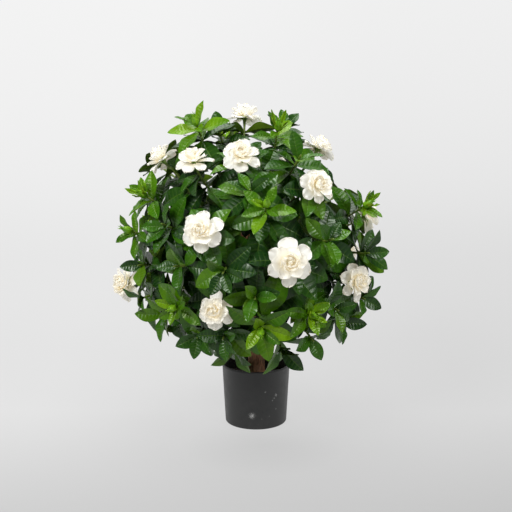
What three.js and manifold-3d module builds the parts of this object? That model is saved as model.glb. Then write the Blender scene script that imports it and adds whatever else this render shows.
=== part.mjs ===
// A potted gardenia: a ball of glossy leaves and double white blooms on a short woody trunk,
// standing in a plain black nursery pot. Millimetres, +Z up, the viewer looks along +Y.
// The origin is the middle of the pot's underside.
import * as THREE from "three";
import { mergeVertices } from "three/addons/utils/BufferGeometryUtils.js";
import Module from "manifold-3d";

const wasm = await Module();
wasm.setup();

// Pot and soil
const POT_HEIGHT = 134;
const POT_RIM_RADIUS = 75;
const POT_FOOT_RADIUS = 67;
const POT_FOOT_ROUNDING = 6;
const POT_WALL = 2.2;
const POT_FLOOR = 3;
const POT_FLOOR_EDGE = 1.5;
const POT_LIP = { height: 5, step: 1, proud: 0.9 };
const POT_SEGMENTS = 32;
const DRAIN_HOLES = { count: 4, radius: 5, ring: 42, sides: 6, depth: 12 };
const SOIL_EDGE = 104;
const SOIL_CROWN = 110;
const SOIL_SHOULDER = { radius: 40, below: 2 };
const SOIL_SEGMENTS = 20;
const SOIL_GAP = 2;
const COLLAR_GAP = 0.6;
const JOINT_GAP = 0.3;

// Wood: the trunk forks into four limbs, and each limb carries twigs
const TRUNK_FOOT = 48;
const COLLAR = { top: 114, radii: [21, 21], sides: 10, steps: 1 };
const TRUNK_ROUTE = [[0, 0, 112], [1, -1, 150], [-4, -4, 200], [-9, -5, 250]];
const TRUNK = { radii: [20, 18, 16, 12], sides: 10, steps: 3 };
const LIMBS = [
  [[-8, -5, 215], [-40, -34, 305], [-66, -44, 380], [-72, -30, 450]],
  [[-8, -5, 215], [-22, -24, 325], [-18, -38, 405], [6, -30, 475]],
  [[-8, -5, 215], [30, 18, 300], [64, 30, 375], [70, 26, 440]],
  [[-8, -5, 215], [-20, 42, 300], [-30, 62, 385], [-10, 58, 465]],
];
const LIMB = { radii: [11, 9.5, 7.5, 5], sides: 5, steps: 3 };
const TWIG = { radii: [5.4, 4.6, 4], sides: 3, steps: 2, rise: 45, lead: 45, share: 0.5 };
const TWIG_PLACES = 12;

// Crown: the shoots end on an ellipsoid, and the sprays that carry them start on a smaller one
const CROWN_CENTRE = [-12, 0, 420];
const CROWN_RADII = [250, 245, 240];
const HEART_CENTRE = [-8, 0, 385];
const HEART_RADIUS = 105;
const LATTICE_POINTS = 42;
const LOWEST_SHOOT = -0.85;
const SHOOT_SPACING = 100;
const SPRAY_COUNT = 15;
const SPRAY_HEIGHTS = { top: 0.95, range: 1.6 };
const LATTICE_KINDS = ["young", "plain", "bloom"];
const GOLDEN_ANGLE = Math.PI * (3 - Math.sqrt(5));

// Shoots that the picture shows: where the bloom or the leaves of the tip sit, and which way they face.
// turn sets the whorls' angle round the stem, in degrees; the others take a random one.
const SEEN_BLOOMS = [
  { at: [-25, 60, 662], facing: [0, 0.35, 0.94] },
  { at: [-28, -155, 614], facing: [-0.05, -0.75, 0.66] },
  { at: [-124, -125, 597], facing: [-0.25, -0.3, 0.92] },
  { at: [-194, -40, 586], facing: [-0.72, 0.25, 0.64] },
  { at: [130, 0, 604], facing: [0.5, 0.4, 0.76] },
  { at: [121, -180, 558], facing: [0.42, -0.78, 0.46] },
  { at: [-103, -240, 479], facing: [-0.25, -0.9, 0.35], size: 1.1 },
  { at: [66, -262, 422], facing: [0.12, -0.97, 0.2], size: 1.2 },
  { at: [-274, -40, 322], facing: [-0.8, -0.57, 0.2] },
  { at: [205, -125, 347], facing: [0.6, -0.74, 0.3] },
  { at: [-79, -230, 315], facing: [-0.2, -0.95, 0.15] },
  { at: [234, 40, 450], facing: [0.85, 0.35, 0.4] },
  { at: [194, 100, 362], facing: [0.75, 0.62, 0.2] },
];
const SEEN_TIPS = [
  { at: [-119, -60, 656], facing: [-0.2, -0.6, 0.78], size: 1.2, turn: 40 },
  { at: [43, -100, 650], facing: [0.1, -0.55, 0.83] },
  { at: [-252, -60, 436], facing: [-0.7, -0.6, 0.4] },
  { at: [-216, -110, 518], facing: [-0.6, -0.6, 0.55] },
  { at: [22, -235, 522], facing: [0.05, -0.76, 0.65], turn: 30 },
  { at: [216, -90, 494], facing: [0.6, -0.6, 0.55] },
  { at: [10, -228, 282], facing: [0.05, -0.97, -0.22], size: 1.3, turn: 72 },
  { at: [106, -210, 304], facing: [0.42, -0.9, 0.05], turn: 0 },
  { at: [-156, -185, 310], facing: [-0.45, -0.88, 0.1] },
];
const SEEN_PLAIN = [
  { at: [-8, -205, 550], facing: [-0.1, -0.88, 0.46] },
  { at: [-60, -240, 400], facing: [-0.2, -0.97, -0.1] },
  { at: [-150, -205, 400], facing: [-0.6, -0.78, 0.15] },
  { at: [-178, -150, 470], facing: [-0.6, -0.7, 0.4] },
  { at: [145, -190, 450], facing: [0.6, -0.75, 0.3] },
  { at: [160, -160, 300], facing: [0.5, -0.85, 0] },
  { at: [-112, -150, 244], facing: [-0.4, -0.85, -0.3] },
  { at: [-42, -135, 210], facing: [-0.2, -0.8, -0.55], size: 1.1 },
  { at: [52, -140, 212], facing: [0.2, -0.8, -0.55], size: 1.1 },
  { at: [112, -150, 238], facing: [0.4, -0.85, -0.3] },
  { at: [-62, -185, 250], facing: [-0.2, -0.95, -0.2] },
  { at: [0, -235, 345], facing: [0, -1, 0] },
  { at: [-192, -95, 268], facing: [-0.55, -0.8, -0.15] },
  { at: [-236, -60, 296], facing: [-0.65, -0.75, -0.05] },
  { at: [-235, -70, 370], facing: [-0.55, -0.8, 0.1] },
  { at: [225, -90, 400], facing: [0.55, -0.8, 0.2] },
  { at: [-75, 20, 628], facing: [-0.25, -0.4, 0.88] },
  { at: [62, 30, 640], facing: [0.25, -0.4, 0.88] },
  { at: [85, -150, 604], facing: [0.3, -0.65, 0.7] },
  { at: [-165, -40, 560], facing: [-0.55, -0.5, 0.67] },
  { at: [218, -70, 300], facing: [0.6, -0.78, 0] },
  { at: [178, -80, 248], facing: [0.6, -0.75, -0.15] },
];

// Green stems: three sides, with the leaves of a whorl raised from all of them between two rings
const STEM = { sides: 3, root: 3, end: 2.4, nodeHeight: 2.4, bendBeyond: 40 };
const STEM_LEADS = [0.45, 0.4, 0.5, 0.35, 0.55, 0.3, 0.6];
const STUB = { radii: [4, 3.8], length: 14, sides: 5, steps: 1 };
const CALYX = [{ behind: 10, radius: 2.6 }, { behind: 0, radius: 5 }];
const TIP_STEM = { length: 34, radius: 2.2, beyond: 10 };
const BUD = [{ behind: -5, radius: 3 }, { behind: -17, radius: 0 }];

// Leaves, in whorls of three: how far each whorl sits behind the shoot's end, and its leaves' form
const WHORLS = {
  bloom: [
    { behind: 56, angle: 86, length: 86, width: 40, arch: 0.6, droop: 0.3 },
    { behind: 26, angle: 72, length: 66, width: 32, arch: 0.45, droop: 0.15 },
  ],
  young: [
    { behind: 70, angle: 88, length: 90, width: 42, arch: 0.6, droop: 0.3 },
    { behind: 45, angle: 76, length: 76, width: 36, arch: 0.5, droop: 0.2 },
    { behind: 19, angle: 64, length: 60, width: 27, arch: 0.45, droop: 0.12, young: true },
    { behind: 4, angle: 42, length: 46, width: 20, arch: 0.3, droop: 0.05, young: true },
  ],
  plain: [
    { behind: 52, angle: 86, length: 88, width: 41, arch: 0.6, droop: 0.3 },
    { behind: 28, angle: 70, length: 74, width: 35, arch: 0.5, droop: 0.15 },
    { behind: 8, angle: 45, length: 56, width: 26, arch: 0.35, droop: 0.05 },
  ],
};
const WHORL_LEAVES = 3;
const LEAF_FORM = {
  first: 0.34,
  firstShare: 0.94,
  rib: 0.48,
  second: 0.7,
  secondShare: 0.88,
  thickness: 1.5,
};
const LEAF_FOLD = 0.22;
const UPWARD = 0.25;
const SHAPE_CHANCE = { length: 0.12, angle: 10, azimuth: 10, twist: 0.5 };

// A leaf that would touch another is turned, tilted or shortened until it is clear
const TRY_AZIMUTHS = [0, 8, -8, 16, -16, 22, -22];
const TRY_ANGLES = [0, 12, -12, 22, -22];
const TRY_LENGTHS = [1, 0.88, 0.76];
const THIN = { from: 0.09, fat: 0 };
const FAT = { from: 0.15, fat: 1.1 };
const ROOT = { from: 0.01, fat: 0.5 };
const CELL = 30;

// Blooms: whorls of rounded petals round a small core
const THROAT = { sides: 6, foot: { at: -6.5, radius: 3.4 }, height: 2.2, tip: 15 };
const PETAL_FORM = {
  first: 0.48,
  firstShare: 0.78,
  rib: 0.45,
  second: 0.84,
  secondShare: 0.94,
  thickness: 1.5,
};
const PETAL_CHANCE = { azimuth: 2, angle: 5, length: 0.07 };
const PETAL_WHORLS = [
  { at: 0, radius: 6.5, count: 6, angle: 88, length: 34, width: 29, fold: 0.16, arch: 0.35 },
  { at: 4, radius: 6, count: 6, angle: 60, length: 28, width: 21.5, fold: 0.18, arch: -0.1 },
  { at: 8, radius: 5, count: 3, angle: 29, length: 19, width: 16, fold: 0.28, arch: -0.5 },
];

// Where each kind of random draw starts in the sequence of its shoot
const DRAW = { whorl: 10, kind: 60, petals: 300, stemTurn: 7 };

const COLOURS = {
  pot: { color: 0x2b2c2c, roughness: 0.55 },
  soil: { color: 0x1c1512, roughness: 0.95 },
  wood: { color: 0x5a3a2a, roughness: 0.8 },
  oldLeaf: { color: 0x1f4a1d, roughness: 0.35 },
  youngLeaf: { color: 0x4c8a17, roughness: 0.35 },
  petal: { color: 0xf3eedd, roughness: 0.6 },
};

const MERGE_DISTANCE = 1e-4;
const radians = THREE.MathUtils.degToRad;
const vec = (p) => new THREE.Vector3(...p);
const UP = vec([0, 0, 1]);

// A repeatable number from 0 to 1 for two whole numbers
function chance(a, b) {
  const s = Math.sin(a * 12.9898 + b * 78.233) * 43758.5453;
  return s - Math.floor(s);
}

// A repeatable number from -range to range
function spread(a, b, range) {
  return (2 * chance(a, b) - 1) * range;
}

// What v has at right angles to the unit vector axis, as a unit vector
function across(v, axis) {
  return v.clone().addScaledVector(axis, -v.dot(axis)).normalize();
}

// Two unit vectors at right angles to an axis and to each other
function sideways(axis) {
  const u = across(Math.abs(axis.z) < 0.9 ? UP : vec([1, 0, 0]), axis);
  return [u, new THREE.Vector3().crossVectors(axis, u)];
}

// The quadratic curve that leaves start and reaches end along the direction heading
function leadIn(start, end, heading, share) {
  const middle = end.clone().addScaledVector(heading, -share * start.distanceTo(end));
  return new THREE.QuadraticBezierCurve3(start, middle, end);
}

function solidOf(geometry) {
  const bare = geometry.clone();
  bare.deleteAttribute("normal");
  bare.deleteAttribute("uv");
  const merged = mergeVertices(bare, MERGE_DISTANCE);
  return new wasm.Manifold(
    new wasm.Mesh({
      numProp: 3,
      vertProperties: merged.attributes.position.array,
      triVerts: new Uint32Array(merged.index.array),
    }),
  );
}

function geometryOf(solid) {
  const mesh = solid.getMesh();
  const geometry = new THREE.BufferGeometry();
  geometry.setAttribute("position", new THREE.BufferAttribute(mesh.vertProperties, 3));
  geometry.setIndex(new THREE.BufferAttribute(mesh.triVerts, 1));
  geometry.computeVertexNormals();
  return geometry;
}

function meshGeometry(points, triangles) {
  const geometry = new THREE.BufferGeometry();
  geometry.setAttribute("position", new THREE.Float32BufferAttribute(points.flatMap((p) => p.toArray()), 3));
  geometry.setIndex(triangles.flat());
  return geometry;
}

// A closed round tube along curve from parameter t0 to t1, whose radius runs through radii
function taperedTube(curve, t0, t1, { radii, sides, steps }) {
  const points = [];
  const triangles = [];
  const [reference] = sideways(curve.getTangent(0.5 * (t0 + t1)));
  for (let i = 0; i <= steps; i++) {
    const t = t0 + ((t1 - t0) * i) / steps;
    const place = (i / steps) * (radii.length - 1);
    const k = Math.min(Math.floor(place), radii.length - 2);
    const radius = THREE.MathUtils.lerp(radii[k], radii[k + 1], place - k);
    const tangent = curve.getTangent(t);
    const u = across(reference, tangent);
    const v = new THREE.Vector3().crossVectors(tangent, u);
    for (let j = 0; j < sides; j++) {
      const a = (2 * Math.PI * j) / sides;
      points.push(
        curve.getPoint(t).addScaledVector(u, radius * Math.cos(a)).addScaledVector(v, radius * Math.sin(a)),
      );
    }
  }
  for (let i = 0; i < steps; i++) {
    for (let j = 0; j < sides; j++) {
      const [a, b] = [i * sides + j, i * sides + ((j + 1) % sides)];
      triangles.push([a, b, b + sides], [a, b + sides, a + sides]);
    }
  }
  const end = steps * sides;
  for (let j = 1; j < sides - 1; j++) triangles.push([0, j + 1, j], [end, end + j, end + j + 1]);
  return meshGeometry(points, triangles);
}

// The two faces of a blade: fans from a point on its rib, above and under, to the points round its edge
function bladeFaces(top, under, topEdge, underEdge) {
  const triangles = [];
  for (let k = 0; k < topEdge.length; k++) {
    const next = (k + 1) % topEdge.length;
    triangles.push([top, topEdge[k], topEdge[next]], [under, underEdge[next], underEdge[k]]);
  }
  return triangles;
}

// The blade's middle line arches over, away from the side that it faces
function archedFrame({ base, along, face, length, arch }, s) {
  const forward = Math.sin(arch * s) / arch;
  const down = (1 - Math.cos(arch * s)) / arch;
  return {
    middle: base.clone().addScaledVector(along, length * forward).addScaledVector(face, -length * down),
    upward: face.clone().multiplyScalar(Math.cos(arch * s)).addScaledVector(along, Math.sin(arch * s)),
  };
}

// The points of a leaf or petal, folded along its rib: right edge, tip, left edge, rib above, rib under.
// fat makes it larger on every side, to test for clearance.
function bladePoints(blade, form, fat = 0) {
  const wing = new THREE.Vector3().crossVectors(blade.along, blade.face);
  const grown = { ...blade, length: blade.length + 2 * fat };
  const edge = (s, share, side) => {
    const { middle, upward } = archedFrame(grown, s);
    const width = (blade.width / 2) * share + fat;
    return middle.addScaledVector(wing, side * width).addScaledVector(upward, blade.fold * width);
  };
  const rib = (rise) => {
    const { middle, upward } = archedFrame(grown, form.rib);
    return middle.addScaledVector(upward, rise * (form.thickness / 2 + fat));
  };
  return [
    edge(form.first, form.firstShare, 1),
    edge(form.second, form.secondShare, 1),
    archedFrame(grown, 1).middle,
    edge(form.second, form.secondShare, -1),
    edge(form.first, form.firstShare, -1),
    rib(1),
    rib(-1),
  ];
}

// The triangles of a blade on the corners of its root: upper right, upper left, lower right, lower left.
// first is the index of its first point.
function bladeTriangles([upperRight, upperLeft, lowerRight, lowerLeft], first) {
  const edge = [first, first + 1, first + 2, first + 3, first + 4];
  return [
    ...bladeFaces(first + 5, first + 6, [upperRight, ...edge, upperLeft], [lowerRight, ...edge, lowerLeft]),
    [edge[0], upperRight, lowerRight],
    [upperLeft, edge[4], lowerLeft],
  ];
}

// A stem or a throat as one closed mesh: rings of points from its foot to its end, some with blades raised
// from the sides that follow. A ring's turn is in sides, and is 0 or 1/2. A ring of radius 0 is a point.
function ringedStem(sides, rings, form) {
  const points = [];
  const triangles = [];
  const starts = rings.map(({ place, radius, turn }) => {
    if (radius === 0) return points.push(place.point) - 1;
    for (let j = 0; j < sides; j++) {
      const a = (2 * Math.PI * (j - 0.5 + turn)) / sides;
      const spoke = place.u.clone().multiplyScalar(Math.cos(a)).addScaledVector(place.v, Math.sin(a));
      points.push(place.point.clone().addScaledVector(spoke, radius));
    }
    return points.length - sides;
  });
  for (let k = 0; k < rings.length - 1; k++) {
    for (let j = 0; j < sides; j++) {
      const ahead = (j + 1) % sides;
      const [a, b] = [starts[k] + j, starts[k] + ahead];
      const blade = rings[k].blades?.[j];
      if (rings[k + 1].radius === 0) {
        triangles.push([a, b, starts[k + 1]]);
        continue;
      }
      const [c, d] = [starts[k + 1] + j, starts[k + 1] + ahead];
      if (blade) {
        triangles.push(...bladeTriangles([c, d, a, b], points.length));
        points.push(...bladePoints(blade, form));
      } else if (rings[k + 1].turn > rings[k].turn) {
        triangles.push([a, b, c], [b, d, c]);
      } else {
        triangles.push([a, b, d], [a, d, c]);
      }
    }
  }
  const end = starts[rings.length - 1];
  for (let j = 1; j < sides - 1; j++) {
    triangles.push([0, j + 1, j]);
    if (rings[rings.length - 1].radius > 0) triangles.push([end, end + j, end + j + 1]);
  }
  return meshGeometry(points, triangles);
}

// Shoots: those in the picture, then a spiral lattice over the rest of the crown
function placeShoots() {
  const seen = (list, kind) => list.map(({ at, facing, size = 1, turn }) => {
    return { at: vec(at), facing: vec(facing).normalize(), size, turn, kind };
  });
  const shoots = [...seen(SEEN_BLOOMS, "bloom"), ...seen(SEEN_TIPS, "young"), ...seen(SEEN_PLAIN, "plain")];
  let added = 0;
  for (let i = 0; i < LATTICE_POINTS; i++) {
    const z = 1 - (2 * (i + 0.5)) / LATTICE_POINTS;
    if (z < LOWEST_SHOOT) continue;
    const r = Math.sqrt(1 - z * z);
    const out = vec([r * Math.cos(GOLDEN_ANGLE * i), r * Math.sin(GOLDEN_ANGLE * i), z]);
    const at = vec(CROWN_CENTRE).add(out.clone().multiply(vec(CROWN_RADII)));
    if (shoots.some((s) => s.at.distanceTo(at) < SHOOT_SPACING)) continue;
    const facing = out.addScaledVector(UP, UPWARD * (1 - Math.abs(z))).normalize();
    shoots.push({ at, facing, size: 1, kind: LATTICE_KINDS[added % LATTICE_KINDS.length] });
    added += 1;
  }
  return shoots;
}

// Each spray is a twig's green growth, and carries the shoots nearest to its direction
function groupSprays(shoots) {
  const sprays = [];
  for (let i = 0; i < SPRAY_COUNT; i++) {
    const z = SPRAY_HEIGHTS.top - (SPRAY_HEIGHTS.range * (i + 0.5)) / SPRAY_COUNT;
    const r = Math.sqrt(1 - z * z);
    const out = vec([r * Math.cos(GOLDEN_ANGLE * i), r * Math.sin(GOLDEN_ANGLE * i), z]);
    sprays.push({ out, shoots: [] });
  }
  for (const shoot of shoots) {
    const way = shoot.at.clone().sub(vec(HEART_CENTRE)).normalize();
    const spray = sprays.reduce((a, b) => (a.out.dot(way) > b.out.dot(way) ? a : b));
    spray.shoots.push(shoot);
    shoot.spray = spray;
  }
  const grown = sprays.filter((spray) => spray.shoots.length);
  for (const spray of grown) {
    spray.out = new THREE.Vector3();
    for (const shoot of spray.shoots) spray.out.add(shoot.at.clone().sub(vec(HEART_CENTRE)).normalize());
    spray.out.normalize();
    spray.root = vec(HEART_CENTRE).addScaledVector(spray.out, HEART_RADIUS);
  }
  return grown;
}

// The place on a shoot at a distance behind its end, or past the end where the distance is negative
function placeOn(shoot, behind) {
  const t = Math.min(1, Math.max(0, 1 - behind / shoot.speed));
  const tangent = shoot.curve.getTangent(t);
  const point = shoot.curve.getPoint(t);
  if (behind < 0) point.addScaledVector(tangent, -behind);
  const u = across(shoot.reference, tangent);
  return { point, tangent, u, v: new THREE.Vector3().crossVectors(tangent, u) };
}

// How far past a shoot's place its stem reaches: up to a tip, or to just under the foot of a bloom
function stemReach(shoot) {
  return shoot.kind === "bloom" ? THROAT.foot.at * shoot.size - JOINT_GAP : TIP_STEM.beyond;
}

// Each stem takes the first lead with which it is clear of the wood, the blooms and the other sprays' stems
function routeStem(shoot, stand) {
  const { root, out } = shoot.spray;
  const start = root.clone().addScaledVector(out, STUB.length / 2);
  const end = shoot.at.clone().addScaledVector(shoot.facing, stemReach(shoot));
  shoot.reference = sideways(shoot.facing)[0];
  const turn = shoot.turn ?? 360 * chance(shoot.index, DRAW.stemTurn);
  shoot.reference.applyAxisAngle(shoot.facing, radians(turn));
  const ofSpray = (owner) => owner === shoot.spray || owner?.spray === shoot.spray;
  for (const lead of STEM_LEADS) {
    shoot.curve = leadIn(start, end, shoot.facing, lead);
    shoot.speed = 2 * lead * start.distanceTo(end);
    if (stand.isClear(solidTriangles(sprayStem(shoot)), ofSpray)) break;
  }
  stand.add(solidTriangles(sprayStem(shoot)), shoot);
  if (shoot.kind === "young") stand.add(solidTriangles(tipStem(shoot)), shoot);
}

function limbCurves() {
  return LIMBS.map((points) => new THREE.CatmullRomCurve3(points.map(vec)));
}

// Each twig leaves the nearest limb at a point below its own end
function twigCurve(spray, limbs) {
  const end = spray.root.clone().addScaledVector(spray.out, -JOINT_GAP);
  const aim = end.clone().addScaledVector(spray.out, -TWIG.lead);
  aim.z -= TWIG.rise;
  const places = limbs.flatMap((limb) => limb.getPoints(TWIG_PLACES).slice(1, TWIG_PLACES));
  const start = places.reduce((a, b) => (a.distanceTo(aim) < b.distanceTo(aim) ? a : b));
  return leadIn(start, end, spray.out, TWIG.share);
}

function makeWood(sprays) {
  const limbs = limbCurves();
  const trunk = new THREE.CatmullRomCurve3(TRUNK_ROUTE.map(vec));
  const collar = new THREE.LineCurve3(vec([0, 0, TRUNK_FOOT]), vec([0, 0, COLLAR.top]));
  const pieces = [taperedTube(collar, 0, 1, COLLAR), taperedTube(trunk, 0, 1, TRUNK)];
  for (const limb of limbs) pieces.push(taperedTube(limb, 0, 1, LIMB));
  for (const spray of sprays) pieces.push(taperedTube(twigCurve(spray, limbs), 0, 1, TWIG));
  return wasm.Manifold.union(pieces.map(solidOf));
}

// The pot's outer radius at a height
function potRadius(z) {
  return THREE.MathUtils.lerp(POT_FOOT_RADIUS, POT_RIM_RADIUS, z / POT_HEIGHT);
}

function makePot() {
  const lipFoot = POT_HEIGHT - POT_LIP.height;
  const profile = [
    [0, 0],
    [POT_FOOT_RADIUS - POT_FOOT_ROUNDING, 0],
    [potRadius(POT_FOOT_ROUNDING), POT_FOOT_ROUNDING],
    [potRadius(lipFoot - POT_LIP.step) - POT_LIP.proud, lipFoot - POT_LIP.step],
    [potRadius(lipFoot), lipFoot],
    [POT_RIM_RADIUS, POT_HEIGHT],
    [POT_RIM_RADIUS - POT_WALL, POT_HEIGHT],
    [potRadius(POT_FLOOR) - POT_WALL - POT_FLOOR_EDGE, POT_FLOOR],
    [0, POT_FLOOR],
  ];
  const shell = new THREE.LatheGeometry(profile.map(([r, z]) => new THREE.Vector2(r, z)), POT_SEGMENTS);
  shell.rotateX(Math.PI / 2);
  const holes = [];
  for (let i = 0; i < DRAIN_HOLES.count; i++) {
    const a = (2 * Math.PI * (i + 0.5)) / DRAIN_HOLES.count;
    const { radius, ring, depth, sides } = DRAIN_HOLES;
    const hole = new THREE.CylinderGeometry(radius, radius, depth, sides);
    hole.rotateX(Math.PI / 2);
    hole.translate(ring * Math.cos(a), ring * Math.sin(a), 0);
    holes.push(solidOf(hole));
  }
  return solidOf(shell).subtract(wasm.Manifold.union(holes));
}

// The soil fills the pot, with a plain hole for the trunk
function makeSoil() {
  const innerAt = (z) => potRadius(z) - POT_WALL - SOIL_GAP;
  const hole = COLLAR.radii[0] + COLLAR_GAP;
  const floor = POT_FLOOR + JOINT_GAP;
  const profile = [
    [0, floor],
    [innerAt(floor) - POT_FLOOR_EDGE, floor],
    [innerAt(SOIL_EDGE), SOIL_EDGE],
    [SOIL_SHOULDER.radius, SOIL_CROWN - SOIL_SHOULDER.below],
    [hole, SOIL_CROWN],
    [hole, TRUNK_FOOT - JOINT_GAP],
    [0, TRUNK_FOOT - JOINT_GAP],
  ];
  const soil = new THREE.LatheGeometry(profile.map(([r, z]) => new THREE.Vector2(r, z)), SOIL_SEGMENTS);
  soil.rotateX(Math.PI / 2);
  return solidOf(soil);
}

// A bloom's petals, in whorls round its throat. Each whorl is turned by half a petal from the one below it.
function makeBloom(shoot) {
  const [u, v] = sideways(shoot.facing);
  const placeAt = (z) => ({ point: shoot.at.clone().addScaledVector(shoot.facing, z * shoot.size), u, v });
  const rings = [{ place: placeAt(THROAT.foot.at), radius: THROAT.foot.radius, turn: 0 }];
  PETAL_WHORLS.forEach((whorl, w) => {
    const turn = (w % 2) / 2;
    const blades = [];
    for (let i = 0; i < whorl.count; i++) {
      const side = (i * THROAT.sides) / whorl.count;
      blades[side] = petalAt(shoot, whorl, w, side, turn, placeAt(whorl.at));
    }
    const radius = whorl.radius * shoot.size;
    rings.push({ place: placeAt(whorl.at - THROAT.height / 2), radius, turn, blades });
    rings.push({ place: placeAt(whorl.at + THROAT.height / 2), radius, turn });
  });
  rings.push({ place: placeAt(THROAT.tip), radius: 0, turn: 0 });
  return solidOf(ringedStem(THROAT.sides, rings, PETAL_FORM));
}

function petalAt(shoot, whorl, w, side, turn, { point, u, v }) {
  const slot = DRAW.petals + DRAW.whorl * w + side;
  const chanceOf = (k, range) => spread(shoot.index, DRAW.kind * k + slot, range);
  const azimuth = radians((360 * (side + turn)) / THROAT.sides + chanceOf(1, PETAL_CHANCE.azimuth));
  const angle = radians(whorl.angle + chanceOf(2, PETAL_CHANCE.angle));
  const size = shoot.size * (1 + chanceOf(3, PETAL_CHANCE.length));
  const radial = u.clone().multiplyScalar(Math.cos(azimuth)).addScaledVector(v, Math.sin(azimuth));
  return {
    base: point.clone().addScaledVector(radial, whorl.radius * shoot.size * Math.cos(Math.PI / THROAT.sides)),
    along: shoot.facing.clone().multiplyScalar(Math.cos(angle)).addScaledVector(radial, Math.sin(angle)),
    face: shoot.facing.clone().multiplyScalar(Math.sin(angle)).addScaledVector(radial, -Math.cos(angle)),
    length: whorl.length * size,
    width: whorl.width * size,
    fold: whorl.fold,
    arch: whorl.arch,
  };
}

// The whorls of a shoot, from its root to its end, each turned by half a side from the one before
function whorlsOf(shoot) {
  return WHORLS[shoot.kind].map((whorl, w) => {
    return { young: false, ...whorl, w, turn: (w % 2) / 2 };
  });
}

// One leaf of a whorl, turned, tilted and shortened as asked
function leafAt(shoot, whorl, i, turn, tilt, shorten) {
  const slot = DRAW.whorl * whorl.w + i;
  const chanceOf = (k, range) => spread(shoot.index, DRAW.kind * k + slot, range);
  const { point, tangent, u, v } = placeOn(shoot, whorl.behind);
  const reach = Math.sin(radians(whorl.angle)) ** 2;
  const turned = reach * (chanceOf(1, SHAPE_CHANCE.azimuth) + turn);
  const azimuth = radians((360 * (i + whorl.turn)) / STEM.sides + turned);
  const angle = radians(whorl.angle + chanceOf(2, SHAPE_CHANCE.angle) + tilt);
  const radial = u.clone().multiplyScalar(Math.cos(azimuth)).addScaledVector(v, Math.sin(azimuth));
  const along = tangent.clone().multiplyScalar(Math.cos(angle)).addScaledVector(radial, Math.sin(angle));
  const face = tangent.clone().multiplyScalar(Math.sin(angle)).addScaledVector(radial, -Math.cos(angle));
  along.z -= whorl.droop;
  along.normalize();
  face.addScaledVector(UP, UPWARD);
  face.addScaledVector(new THREE.Vector3().crossVectors(along, face), chanceOf(3, SHAPE_CHANCE.twist));
  const size = shoot.size * (1 + chanceOf(4, SHAPE_CHANCE.length)) * shorten;
  return {
    base: point,
    along,
    face: across(face, along),
    length: whorl.length * size,
    width: whorl.width * size,
    fold: LEAF_FOLD,
    arch: whorl.arch,
  };
}

// A shoot's stem, from its first ring, through those of its whorls, to its last ones
function leafyStem(shoot, first, whorls, last) {
  const radius = Math.min(first.radius, STEM.end);
  const next = whorls.length ? whorls[0].behind : last[0].behind;
  const rings = [];
  if (first.behind - next > STEM.bendBeyond) {
    rings.push({ behind: (first.behind + next) / 2, radius, turn: whorls.length ? whorls[0].turn : 0 });
  }
  for (const { behind, turn, leaves } of whorls) {
    rings.push({ behind: behind + STEM.nodeHeight / 2, radius, turn, blades: leaves });
    rings.push({ behind: behind - STEM.nodeHeight / 2, radius, turn });
  }
  const startTurn = whorls.length ? whorls[0].turn : 0;
  const endTurn = whorls.length ? whorls[whorls.length - 1].turn : 0;
  const all = [{ ...first, turn: startTurn }, ...rings, ...last.map((ring) => ({ ...ring, turn: endTurn }))];
  const placed = all.map((ring) => ({ ...ring, place: placeOn(shoot, ring.behind) }));
  return ringedStem(STEM.sides, placed, LEAF_FORM);
}

// What already stands in the crown: triangles in a grid of cells, each with the shoot or spray that owns it
class Thicket {
  constructor() {
    this.cells = new Map();
  }

  *cellsOf(triangle) {
    const low = triangle[0].clone().min(triangle[1]).min(triangle[2]).divideScalar(CELL).floor();
    const high = triangle[0].clone().max(triangle[1]).max(triangle[2]).divideScalar(CELL).floor();
    for (let x = low.x; x <= high.x; x++) {
      for (let y = low.y; y <= high.y; y++) {
        for (let z = low.z; z <= high.z; z++) yield `${x},${y},${z}`;
      }
    }
  }

  add(triangles, owner = null) {
    for (const triangle of triangles) {
      triangle.owner = owner;
      for (const cell of this.cellsOf(triangle)) {
        if (!this.cells.has(cell)) this.cells.set(cell, []);
        this.cells.get(cell).push(triangle);
      }
    }
  }

  isClear(triangles, skip = () => false) {
    for (const triangle of triangles) {
      for (const cell of this.cellsOf(triangle)) {
        for (const other of this.cells.get(cell) ?? []) {
          if (!skip(other.owner) && trianglesCross(triangle, other)) return false;
        }
      }
    }
    return true;
  }
}

function trianglesCross(a, b) {
  for (let i = 0; i < 3; i++) {
    if (edgeCrosses(a[i], a[(i + 1) % 3], b) || edgeCrosses(b[i], b[(i + 1) % 3], a)) return true;
  }
  return false;
}

// Whether the segment from p to q passes through a triangle
function edgeCrosses(p, q, [a, b, c]) {
  const [dx, dy, dz] = [q.x - p.x, q.y - p.y, q.z - p.z];
  const [e1x, e1y, e1z] = [b.x - a.x, b.y - a.y, b.z - a.z];
  const [e2x, e2y, e2z] = [c.x - a.x, c.y - a.y, c.z - a.z];
  const [hx, hy, hz] = [dy * e2z - dz * e2y, dz * e2x - dx * e2z, dx * e2y - dy * e2x];
  const det = e1x * hx + e1y * hy + e1z * hz;
  if (Math.abs(det) < 1e-12) return false;
  const [sx, sy, sz] = [p.x - a.x, p.y - a.y, p.z - a.z];
  const u = (sx * hx + sy * hy + sz * hz) / det;
  if (u < 0 || u > 1) return false;
  const [kx, ky, kz] = [sy * e1z - sz * e1y, sz * e1x - sx * e1z, sx * e1y - sy * e1x];
  const v = (dx * kx + dy * ky + dz * kz) / det;
  if (v < 0 || u + v > 1) return false;
  const t = (e2x * kx + e2y * ky + e2z * kz) / det;
  return t >= 0 && t <= 1;
}

function trianglesOf(points, triangles) {
  return triangles.map((corners) => corners.map((c) => points[c]));
}

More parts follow.
